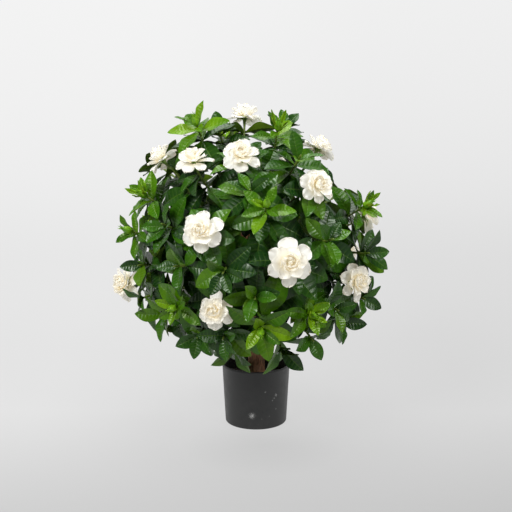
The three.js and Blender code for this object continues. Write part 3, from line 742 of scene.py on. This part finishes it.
def petal_width(s):
    """A petal's half width: narrow at its foot, widest near the end, and rounded"""
    return np.clip(s, 0, 1) ** 0.5 * np.sqrt(np.clip(1 - s**5, 0, 1)) * PETAL_FORM["widest"]


def add_petal(build, blade, number, whorl):
    """A rounded petal with a soft wave and a shallow notch, turned so that it overlaps its neighbour"""
    edge = PETAL_EDGE
    q = np.linspace(0, 1, PETAL_ROWS)
    t = np.linspace(-1, 1, PETAL_COLUMNS)
    q, t = np.meshgrid(1 - (1 - q) ** 1.5, np.sin(t * math.pi / 2), indexing="ij")
    off = (t - spread(number, 8, PETAL_CHANCE["notch_place"])) / edge["notch_width"]
    notch = edge["notch"] * np.exp(-(off**2)) * q**6
    reach = 1 + spread(number, 9, PETAL_CHANCE["length"])
    s = q * reach * (1 - edge["rounding"] * np.abs(t) ** 3) - notch
    widen = whorl["widen"] * (1 + spread(number, 10, PETAL_CHANCE["width"]))
    point, way = line_at(blade, s)
    up = np.cross(blade["wing"], way)
    angle = np.radians(whorl["turn"] + spread(number, 7, PETAL_CHANCE["turn"]))
    wing = blade["wing"] * np.cos(angle) + up * np.sin(angle)
    normal = np.cross(wing, way)
    half = np.maximum(petal_width(q) * blade["half"] * widen, PETAL_FORM["foot"])
    phase = 2 * math.pi * chance(number, 5)
    bowl = whorl["cup"] * half * np.abs(t) ** 2 * np.sin(math.pi * q * PETAL_FORM["bowl"])
    curl = whorl["curl"] * blade["length"] * q**4
    wave = edge["wave"] * np.sin(2 * math.pi * edge["waves"] * t + phase) * q**2
    wave += edge["ripple"] * np.sin(edge["ripples"] * t + 2 * phase) * q**4
    surface = point + wing * (t * half)[..., None] + normal * (bowl - curl + wave)[..., None]
    thickness = PETAL_FORM["thickness"] * (1 - PETAL_FORM["thinning"] * q)
    coords = np.stack([q, t, np.full(q.shape, whorl["warmth"])], -1)
    sheet(build, surface, normal, thickness, (PETAL_WHITE, PETAL_WHITE), coords, PETAL_FACES)


def make_bloom(node, name, number):
    """A bloom in place of its solid: fine petals, small ones in its heart, and the green cup under it"""
    bm = merged(node)
    blades = [read_blade(*blade, "petal") for blade in find_blades(bm)]
    bm.free()
    blades.sort(key=lambda blade: -blade["length"])
    whorls = []
    for whorl in WHORLS:
        whorls.append(blades[: whorl["count"]])
        blades = blades[whorl["count"] :]
    outer, inner = whorls[0], whorls[-1]
    foot = np.mean([blade["root"] for blade in outer], axis=0)
    facing = unit(np.mean([blade["root"] for blade in inner], axis=0) - foot)
    scale = outer[0]["half"] * 2 / OUTER_PETAL_WIDTH
    build = Build()
    first = DRAWS_PER_BLOOM * number
    for whorl, petals in zip(WHORLS, whorls):
        for n, blade in enumerate(petals):
            add_petal(build, blade, first + whorl["draw"] + n, whorl)
    add_calyx(build, foot, facing, scale)
    for n, blade in enumerate(rosette(foot, facing, inner[0]["wing"], scale, number)):
        add_petal(build, blade, first + HEART["draw"] + n, HEART)
    piece = build.piece(name, [PETAL, CALYX_GREEN])
    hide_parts(node)


def add_calyx(build, foot, facing, scale):
    """The green cup under a bloom and its narrow sepals"""
    u, v = two_across(facing)
    radii = np.array([[r * scale * MM] * CALYX_SIDES for r, _ in CALYX])
    centres = np.array([foot + facing * h * scale * MM for _, h in CALYX])
    add_tube(build, centres, radii, u, v, CALYX_PART)
    t = np.linspace(0, 1, SEPALS["rings"])[:, None]
    for k in range(SEPALS["count"]):
        a = 2 * math.pi * k / SEPALS["count"]
        outward = u * math.cos(a) + v * math.sin(a)
        start = foot + (facing * SEPALS["height"] + outward * SEPALS["ring"]) * scale
        way = outward * t * SEPALS["reach"] + facing * (SEPALS["rise"] * t - SEPALS["droop"] * t**2)
        sepal = start + way * SEPALS["length"] * scale
        width = SEPALS["radius"] * scale * np.sqrt(1 - SEPALS["taper"] * t**2)
        radii = width * np.ones((1, SEPALS["sides"]))
        add_tube(build, sepal, radii, facing, np.cross(facing, outward), CALYX_PART)


def arched_blade(root, along, face, length, half, arch):
    """A petal's blade that starts along a way and bends by the angle arch, inwards where negative"""

    def at(s):
        return root + length * (along * math.sin(arch * s) - face * (1 - math.cos(arch * s))) / arch

    return {
        "kind": "petal",
        "root": root,
        "middle": at(BLADE_RIB["petal"]),
        "tip": at(1),
        "half": half,
        "wing": np.cross(along, face),
        "face": face,
        "length": length,
    }


def rosette(foot, facing, u, scale, number):
    """The blades of the small petals in a bloom's heart, in spirals that close over its centre"""
    u = unit(u - facing * (u @ facing))
    v = np.cross(facing, u)
    found = []
    for w, whorl in enumerate(ROSETTE):
        for i in range(whorl["count"]):
            draw = 10 * w + i
            azimuth = 2 * math.pi * (i + ROSETTE_STEP * w) / whorl["count"]
            azimuth += spread(number, draw, ROSETTE_CHANCE["place"])
            angle = math.radians(whorl["angle"] + spread(number, 50 + draw, ROSETTE_CHANCE["angle"]))
            radial = u * math.cos(azimuth) + v * math.sin(azimuth)
            root = foot + (facing * whorl["height"] + radial * whorl["radius"]) * scale * MM
            along = facing * math.cos(angle) + radial * math.sin(angle)
            face = facing * math.sin(angle) - radial * math.cos(angle)
            length = whorl["length"] * scale * MM
            length *= 1 + spread(number, 90 + draw, ROSETTE_CHANCE["length"])
            half = whorl["width"] * scale * MM / 2
            found.append(arched_blade(root, along, face, length, half, whorl["arch"]))
    return found


# Pot, soil and trunk


def lathe(profile, segments):
    """A closed turned shape from its profile, which starts and ends on the axis"""
    angles = np.arange(segments) * 2 * math.pi / segments
    ring = np.stack([np.cos(angles), np.sin(angles)], -1)
    points = [(0, 0, profile[0][1])]
    for r, z in profile[1:-1]:
        points += [(r * x, r * y, z) for x, y in ring]
    points.append((0, 0, profile[-1][1]))
    faces = []
    following = (np.arange(segments) + 1) % segments
    for j in range(segments):
        faces.append((0, 1 + following[j], 1 + j))
    for k in range(len(profile) - 3):
        a = 1 + k * segments
        b = a + segments
        for j in range(segments):
            faces.append((a + j, a + following[j], b + following[j], b + j))
    a = 1 + (len(profile) - 3) * segments
    for j in range(segments):
        faces.append((a + j, a + following[j], len(points) - 1))
    return points, faces


def pot_radius(z):
    """The radius of the pot's wall outside at a height, both in mm"""
    return POT["foot"] + (POT["rim"] - POT["foot"]) / POT["height"] * z


def pot_profile():
    """The pot's profile in metres: a flat foot, a rounded heel, a plain wall and a rolled lip"""
    rim, height, heel, wall, floor = POT["rim"], POT["height"], POT["heel"], POT["wall"], POT["floor"]
    profile = [(0, 0)]
    for n in range(POT["heel_steps"] + 1):
        a = math.pi / 2 * n / POT["heel_steps"]
        profile.append((pot_radius(heel) - heel + heel * math.sin(a), heel - heel * math.cos(a)))
    under = height - POT["lip"]
    # Round the lip from the groove under it, and down the wall's inside to the floor
    profile += [
        (pot_radius(under - 1.2) - 0.9, under - 1.2),
        (pot_radius(under) - 0.2, under - 0.3),
        (pot_radius(under) + 0.1, under + 0.4),
        (rim, height - 0.8),
        (rim - 0.3, height - 0.2),
        (rim - 0.8, height),
        (rim - wall + 0.6, height),
        (rim - wall, height - 0.6),
        (pot_radius(floor + 4) - wall, floor + 4),
        (pot_radius(floor) - wall - 3, floor),
        (0, floor),
    ]
    return [(r * MM, z * MM) for r, z in profile]


def drain_cutters():
    """Rods where the drain holes go"""
    radius, ring, depth = DRAIN["radius"] * MM, DRAIN["ring"] * MM, DRAIN["depth"] * MM
    bm = bmesh.new()
    for n in range(DRAIN["count"]):
        a = 2 * math.pi * (n + 0.5) / DRAIN["count"]
        place = Matrix.Translation((ring * math.cos(a), ring * math.sin(a), 0))
        sizes = {"radius1": radius, "radius2": radius, "depth": depth}
        bmesh.ops.create_cone(bm, cap_ends=True, segments=DRAIN["sides"], matrix=place, **sizes)
    mesh = bpy.data.meshes.new("drain_cutters")
    bm.to_mesh(mesh)
    bm.free()
    return add_object("drain_cutters", mesh)


def make_pot():
    """The black pot, turned from its profile and cut by its drain holes"""
    points, faces = lathe(pot_profile(), POT["segments"])
    mesh = bpy.data.meshes.new("pot_wall")
    mesh.from_pydata(points, [], faces)
    shape = add_object("pot_wall", mesh)
    cutters = drain_cutters()
    cut = shape.modifiers.new("drain", "BOOLEAN")
    cut.operation = "DIFFERENCE"
    cut.object = cutters
    result = applied(shape)
    bpy.data.objects.remove(shape)
    bpy.data.objects.remove(cutters)
    points = [v.co[:] for v in result.vertices]
    faces = [list(p.vertices) for p in result.polygons]
    piece = add_piece("black_pot", points, faces, [POT_PLASTIC], [0] * len(faces))
    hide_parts("pot")


def make_soil():
    """The soil with a crumbly top"""
    form = SOIL_FORM
    low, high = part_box("soil")
    outer = high.x
    radii = np.linspace(form["hole"], outer, form["rings"])
    profile = [(0, low.z), (outer - form["foot_inset"], low.z)]
    for r in radii[::-1]:
        share = (r - form["hole"]) / (outer - form["hole"])
        profile.append((r, form["crown"] - (form["crown"] - form["edge"]) * share**2))
    profile += [(form["hole"], form["hole_floor"]), (0, form["hole_floor"])]
    points, faces = lathe(profile, form["segments"])
    shaped = []
    for x, y, z in points:
        if z > form["crumbs_above"]:
            coarse = noise.noise(Vector((x, y, 0)) / form["coarse"])
            fine = noise.noise(Vector((x, y, 1)) / form["fine"])
            z += form["crumb"] * (coarse + 0.5 * fine)
        shaped.append((x, y, z))
    piece = add_piece("potting_soil", shaped, faces, [SOIL], [0] * len(faces))
    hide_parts("soil")


def make_trunk():
    """The trunk, limbs and twigs, rounded, with bark ridges that run along the wood"""
    form = TRUNK_FORM
    mesh = bpy.data.meshes.new("bark_trunk")
    bm = merged("trunk")
    bm.to_mesh(mesh)
    bm.free()
    shape = add_object("bark_trunk_shape", mesh)
    remesh = shape.modifiers.new("remesh", "REMESH")
    remesh.mode = "VOXEL"
    remesh.voxel_size = form["voxel"]
    smooth = shape.modifiers.new("smooth", "SMOOTH")
    smooth.iterations = form["smoothing"]
    result = applied(shape)
    bpy.data.objects.remove(shape)
    points = []
    for v in result.vertices:
        relief = 1 if v.co.z < form["limbs_above"] else form["limb_relief"]
        place = Vector((v.co.x, v.co.y, v.co.z * form["stretch"])) / form["grain"]
        ridge = abs(noise.noise(place)) + 0.5 * abs(noise.noise(place * form["fine"]))
        points.append(v.co + v.normal * relief * (form["swell"] - form["depth"] * ridge))
    faces = [list(p.vertices) for p in result.polygons]
    piece = add_piece("bark_trunk", points, faces, [BARK], [0] * len(faces))
    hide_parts("trunk")


# Materials


class Nodes:
    """The nodes of one material"""

    def __init__(self, name):
        self.material = bpy.data.materials.new(name)
        self.material.use_nodes = True
        self.tree = self.material.node_tree
        self.shader = self.tree.nodes["Principled BSDF"]

    def add(self, kind, inputs=None, **settings):
        node = self.tree.nodes.new(kind)
        for key, value in settings.items():
            setattr(node, key, value)
        for key, value in (inputs or {}).items():
            self.set(node.inputs[key], value)
        return node

    def set(self, socket, value):
        if isinstance(value, bpy.types.NodeSocket):
            self.tree.links.new(value, socket)
        else:
            socket.default_value = value

    def math(self, operation, *values, clamp=False):
        inputs = dict(enumerate(values))
        return self.add("ShaderNodeMath", inputs, operation=operation, use_clamp=clamp).outputs[0]

    def mix(self, share, a, b):
        """The colours a and b mixed, b by its share"""
        inputs = {"Factor": share, "A": a, "B": b}
        return self.add("ShaderNodeMix", inputs, data_type="RGBA").outputs["Result"]

    def ramp(self, value, low, high, start=0.0, end=1.0):
        """A number that goes from start to end while the value goes from low to high"""
        ends = {"Value": value, "From Min": low, "From Max": high, "To Min": start, "To Max": end}
        return self.add("ShaderNodeMapRange", ends).outputs["Result"]

    def noise(self, scale, detail=4, roughness=0.6, vector=None):
        node = self.add("ShaderNodeTexNoise", {"Scale": scale, "Detail": detail, "Roughness": roughness})
        self.set(node.inputs["Vector"], vector or self.place())
        return node.outputs["Fac"]

    def place(self):
        return self.add("ShaderNodeTexCoord").outputs["Object"]

    def distance(self, point):
        """How far a place on the surface is from a point"""
        node = self.add("ShaderNodeVectorMath", {0: self.place(), 1: point}, operation="DISTANCE")
        return node.outputs["Value"]

    def stretched(self, vector, scale):
        return self.add("ShaderNodeMapping", {"Vector": vector, "Scale": scale}).outputs[0]

    def blade(self):
        """The blade's vector, and its parts: along the blade, across it, and its tone"""
        attribute = self.add("ShaderNodeAttribute", attribute_name="blade")
        parts = self.add("ShaderNodeSeparateXYZ", {0: attribute.outputs["Vector"]})
        return attribute.outputs["Vector"], *parts.outputs[:3]

    def bump(self, height, strength, distance):
        node = self.add("ShaderNodeBump", {"Strength": strength, "Distance": distance, "Height": height})
        self.set(self.shader.inputs["Normal"], node.outputs["Normal"])

    def finish(self, colour, sockets):
        """Sets the shader's colour and the named sockets, and gives the material"""
        self.set(self.shader.inputs["Base Color"], colour)
        for key, value in sockets.items():
            self.set(self.shader.inputs[key], value)
        return self.material


def rgb(r, g, b):
    return (r, g, b, 1.0)


def leaf_shade(n, along, tone, mottle, young):
    """How pale a place on a leaf is, from 0 to 1: its tone, with patches, and painted shade that darkens it
    inside the crown
    """
    # Painted shade: darker towards the crown's middle, a little lighter at its outside
    middle = n.distance(CROWN_PAINTED_SHADE["middle"])
    outside = n.ramp(middle, CROWN_PAINTED_SHADE["inner"], CROWN_PAINTED_SHADE["outer"], CROWN_PAINTED_SHADE["dark"], CROWN_PAINTED_SHADE["light"])
    patch = n.ramp(n.noise(9.0, 1), 0.35, 0.65, -0.15, 0.15)
    shade = n.math("ADD", n.math("ADD", tone, patch), outside)
    shade = n.math("ADD", shade, n.ramp(mottle, 0.3, 0.7, -0.12, 0.12), clamp=True)
    foot = n.math("MULTIPLY", n.ramp(along, 0.1, 0.9, 1.0, 0.0), young)
    return n.math("ADD", shade, foot, clamp=True)


def leaf_material(name, tones, vein, gloss, sheen, young=0.0, shine=0.38):
    """A leaf in three tones from deep to pale, with lighter veins, and raised between them. gloss is its
    roughness, sheen the tint of its highlights and shine their strength. young makes its foot brighter."""
    n = Nodes(name)
    _, along, across, tone = n.blade()
    side = n.math("ABSOLUTE", across)
    rib = n.ramp(side, 0.015, 0.09, 1.0, 0.0)
    cycle = n.math("FRACT", n.math("ADD", n.math("MULTIPLY", along, float(LEAF_VEINS)), 0.5))
    off = n.math("ABSOLUTE", n.math("SUBTRACT", cycle, 0.5))
    veins = n.math("MULTIPLY", n.ramp(off, 0.0, 0.13, 1.0, 0.0), n.ramp(side, 0.2, 1.0, 0.75, 0.1))
    lines = n.math("MAXIMUM", rib, veins)
    mottle = n.noise(45.0, 5)
    shade = leaf_shade(n, along, tone, mottle, young)
    lower = n.mix(n.ramp(shade, 0.0, 0.6), tones[0], tones[1])
    colour = n.mix(n.ramp(shade, 0.6, 1.0), lower, tones[2])
    colour = n.mix(n.math("MULTIPLY", lines, 0.4), colour, vein)
    between = n.math("POWER", n.math("MULTIPLY", off, 2.0), 0.6)
    mound = n.math("MULTIPLY", between, n.ramp(side, 0.05, 0.9, 1.0, 0.3))
    relief = n.math("SUBTRACT", mound, n.math("MULTIPLY", rib, 0.6))
    grain = n.math("MULTIPLY", n.noise(700.0, 2), 0.12)
    n.bump(n.math("ADD", grain, relief), 1.0, 0.0006)
    roughness = n.ramp(mottle, 0.3, 0.7, gloss - 0.06, gloss + 0.08)
    return n.finish(colour, {"Roughness": roughness, "Specular IOR Level": shine, "Specular Tint": sheen})


def petal_material():
    """White petals, cream towards the throat, with faint veins and a faint painted cream glow"""
    n = Nodes("petal")
    vector, along, _, tone = n.blade()
    outer = n.mix(n.ramp(along, 0.0, 0.6), rgb(0.85, 0.77, 0.56), rgb(0.82, 0.822, 0.787))
    inner = n.mix(n.ramp(along, 0.2, 1.0), rgb(0.92, 0.81, 0.57), rgb(0.89, 0.865, 0.78))
    veins = n.noise(1.5, 3, vector=n.stretched(vector, (2.0, 14.0, 1.0)))
    n.bump(veins, 0.35, 0.0006)
    sockets = {
        "Roughness": 0.6,
        "Specular IOR Level": 0.25,
        "Subsurface Weight": 0.6,
        "Subsurface Radius": (1.0, 1.0, 1.0),
        "Subsurface Scale": 0.004,
        # Painted glow: a faint cream emission that lifts the shade between the petals
        "Emission Color": rgb(1.0, 0.86, 0.58),
        "Emission Strength": 0.11,
    }
    return n.finish(n.mix(tone, outer, inner), sockets)


def bud_material():
    """Fresh green with paler streaks that run to the point"""
    n = Nodes("green_bud")
    streaks = n.noise(160.0, 3)
    colour = n.mix(n.ramp(streaks, 0.35, 0.65), rgb(0.08, 0.24, 0.006), rgb(0.22, 0.42, 0.012))
    n.bump(streaks, 0.4, 0.0008)
    return n.finish(colour, {"Roughness": 0.35})


def calyx_material():
    """The duller green of the cup under a bloom"""
    n = Nodes("green_calyx")
    streaks = n.noise(200.0, 3)
    colour = n.mix(n.ramp(streaks, 0.35, 0.65), rgb(0.1, 0.2, 0.02), rgb(0.22, 0.33, 0.05))
    n.bump(streaks, 0.3, 0.0006)
    return n.finish(colour, {"Roughness": 0.45})


def stem_material():
    """Green stems with a fine speckle"""
    n = Nodes("stem")
    speckle = n.noise(220.0, 4)
    colour = n.mix(n.ramp(speckle, 0.35, 0.7), rgb(0.08, 0.15, 0.015), rgb(0.16, 0.2, 0.03))
    n.bump(speckle, 0.2, 0.0003)
    return n.finish(colour, {"Roughness": 0.5})


def bark_material():
    """Reddish-brown bark with a grain along the wood and greyer patches"""
    n = Nodes("bark")
    grain = n.noise(260.0, 8, 0.7, n.stretched(n.place(), (1.0, 1.0, 0.25)))
    patches = n.noise(40.0, 3)
    brown = n.mix(n.ramp(grain, 0.35, 0.65), rgb(0.22, 0.085, 0.046), rgb(0.64, 0.32, 0.18))
    colour = n.mix(n.ramp(patches, 0.5, 0.75, 0.0, 0.4), brown, rgb(0.52, 0.38, 0.27))
    n.bump(grain, 0.6, 0.0012)
    return n.finish(colour, {"Roughness": 0.85})


def soil_material():
    """Dark crumbly potting mix"""
    n = Nodes("soil")
    crumbs = n.noise(500.0, 6, 0.7)
    colour = n.mix(n.ramp(crumbs, 0.4, 0.7), rgb(0.006, 0.004, 0.003), rgb(0.05, 0.03, 0.02))
    n.bump(crumbs, 0.8, 0.002)
    return n.finish(colour, {"Roughness": 0.95})


def pot_material():
    """Matte black plastic with faint scuffs, dust specks and a few pale smudges on the front"""
    n = Nodes("pot_plastic")
    cloud = n.noise(60.0, 6, 0.7)
    dust = n.noise(520.0, 5, 0.7)
    marks = n.math("MULTIPLY", n.ramp(n.noise(700.0, 2), 0.76, 0.8), SPECKS)
    for x, z, radius, strength in SMUDGES:
        y = -math.sqrt(SMUDGE_RING**2 - x**2)
        near = n.ramp(n.distance((x * MM, y * MM, z * MM)), 0.0, radius * MM, 1.0, 0.0)
        grains = n.ramp(n.math("ADD", dust, n.math("MULTIPLY", near, 0.25)), 0.58, 0.7, 0.0, strength)
        grains = n.math("MULTIPLY", grains, n.ramp(near, 0.0, 0.3))
        film = n.math("MULTIPLY", n.math("POWER", near, 2.0), strength * SMUDGE_FILM)
        marks = n.math("MAXIMUM", marks, n.math("ADD", grains, film))
    colour = n.mix(n.ramp(cloud, 0.3, 0.8), rgb(0.010, 0.011, 0.011), rgb(0.024, 0.024, 0.023))
    colour = n.mix(marks, colour, rgb(0.5, 0.5, 0.49))
    n.bump(n.noise(1500.0, 2), 0.08, 0.0003)
    return n.finish(colour, {"Roughness": n.ramp(cloud, 0.3, 0.7, 0.38, 0.55)})


def paper_material():
    """Pale paper that glows with painted light, brighter towards the back and to the left, with a painted
    shadow in front of the pot's foot
    """
    n = Nodes("studio_paper")
    parts = n.add("ShaderNodeSeparateXYZ", {0: n.place()})
    x, y = parts.outputs["X"], parts.outputs["Y"]
    # Painted light: the glow grows from the front to the back
    tone = PAPER_PAINTED_LIGHT[0][1]
    for (start, low), (end, high) in zip(PAPER_PAINTED_LIGHT, PAPER_PAINTED_LIGHT[1:]):
        tone = n.math("ADD", tone, n.ramp(y, start, end, 0.0, high - low))
    # Painted light: brighter on the left, more so near the front
    share = n.ramp(y, 0.0, PAPER_PAINTED_LIGHT[-1][0], PAPER_PAINTED_SIDE_LIGHT["near"], PAPER_PAINTED_SIDE_LIGHT["far"])
    side = n.math("MULTIPLY", n.ramp(x, -PAPER_PAINTED_SIDE_LIGHT["reach"], PAPER_PAINTED_SIDE_LIGHT["reach"], 1.0, -1.0), share)
    tone = n.math("MULTIPLY", tone, n.math("ADD", side, 1.0))
    # Painted shadow: darker in front of the pot's foot
    away = n.distance(FOOT_PAINTED_SHADOW["middle"])
    shade = n.ramp(away, 0.0, FOOT_PAINTED_SHADOW["radius"], FOOT_PAINTED_SHADOW["strength"], 0.0)
    tone = n.math("MULTIPLY", tone, n.math("SUBTRACT", 1.0, shade))
    sockets = {"Roughness": 0.9, "Specular IOR Level": 0.0, "Emission Color": tone, "Emission Strength": 1.0}
    return n.finish(rgb(PAPER_ALBEDO, PAPER_ALBEDO, PAPER_ALBEDO), sockets)


OLD_LEAF = leaf_material("old_leaf", OLD_TONES, rgb(0.1, 0.2, 0.02), 0.28, rgb(0.9, 1.0, 0.85))
OLD_UNDER = leaf_material(
    "old_leaf_under", OLD_UNDER_TONES, rgb(0.15, 0.24, 0.03), 0.62, YELLOW_SHEEN, shine=0.16
)
YOUNG_LEAF = leaf_material("young_leaf", YOUNG_TONES, rgb(0.16, 0.3, 0.02), 0.28, YELLOW_SHEEN, young=0.25)
YOUNG_UNDER = leaf_material(
    "young_leaf_under", YOUNG_UNDER_TONES, rgb(0.2, 0.33, 0.04), 0.55, YELLOW_SHEEN, young=0.2, shine=0.2
)
BUD_GREEN = bud_material()
CALYX_GREEN = calyx_material()
STEM = stem_material()
PETAL = petal_material()
BARK = bark_material()
SOIL = soil_material()
POT_PLASTIC = pot_material()


# Studio


def add_stage():
    """A pale floor that bends up into a backdrop"""
    far, bend, steps = FLOOR["far"], FLOOR["bend"], FLOOR["steps"]
    rows = [(FLOOR["near"], 0), (far, 0)]
    for n in range(1, steps + 1):
        a = math.pi / 2 * n / steps
        rows.append((far + bend * math.sin(a), bend - bend * math.cos(a)))
    rows.append((far + bend, FLOOR["top"]))
    points = [(side * FLOOR["half_width"], y, z) for y, z in rows for side in (-1, 1)]
    faces = [(2 * n, 2 * n + 1, 2 * n + 3, 2 * n + 2) for n in range(len(rows) - 1)]
    mesh = bpy.data.meshes.new("studio_floor")
    mesh.from_pydata(points, [], faces)
    mesh.shade_smooth()
    mesh.materials.append(paper_material())
    floor = add_object("studio_floor", mesh)


def aim(thing, target):
    way = Vector(target) - thing.location
    thing.rotation_euler = way.to_track_quat("-Z", "Y").to_euler()


def add_lights():
    """A faint light from all sides, and three soft boxes"""
    world = bpy.data.worlds.new("studio")
    world.use_nodes = True
    background = world.node_tree.nodes["Background"]
    background.inputs["Color"].default_value = rgb(*WORLD_LIGHT["colour"])
    background.inputs["Strength"].default_value = WORLD_LIGHT["strength"]
    bpy.context.scene.world = world
    for light in LIGHTS:
        data = bpy.data.lights.new(light["name"], "AREA")
        data.size = light["size"]
        data.energy = light["power"]
        lamp = add_object(light["name"], data)
        lamp.location = light["place"]
        aim(lamp, LIGHT_AIM)


def add_camera():
    """The camera at the picture's viewing angle"""
    data = bpy.data.cameras.new("camera")
    data.lens = CAMERA["lens"]
    data.sensor_width = CAMERA["sensor"]
    camera = add_object("camera", data)
    camera.location = CAMERA["place"]
    camera.rotation_euler = (math.radians(90 + CAMERA["pitch"]), 0, math.radians(-CAMERA["yaw"]))
    bpy.context.scene.camera = camera


def numbered(kind):
    """The names of the nodes of a kind, in order"""
    return sorted(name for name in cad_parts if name.startswith(kind))


THICKET = Thicket()
add_camera()
add_lights()
add_stage()
make_pot()
make_soil()
make_trunk()

# Each leaf draws by its number, counted on from one node to the next
spray_materials = [OLD_LEAF, OLD_UNDER, STEM]
tip_materials = [YOUNG_LEAF, YOUNG_UNDER, STEM, BUD_GREEN]
leaves = 0
for node in numbered("spray_"):
    leaves += make_foliage(node, "leafy", spray_materials, leaves)
for node in numbered("tip_"):
    leaves += make_foliage(node, "young", tip_materials, leaves)
for number, node in enumerate(numbered("bloom_")):
    make_bloom(node, "gardenia_" + node, number)
bpy.context.scene.view_settings.view_transform = "Standard"
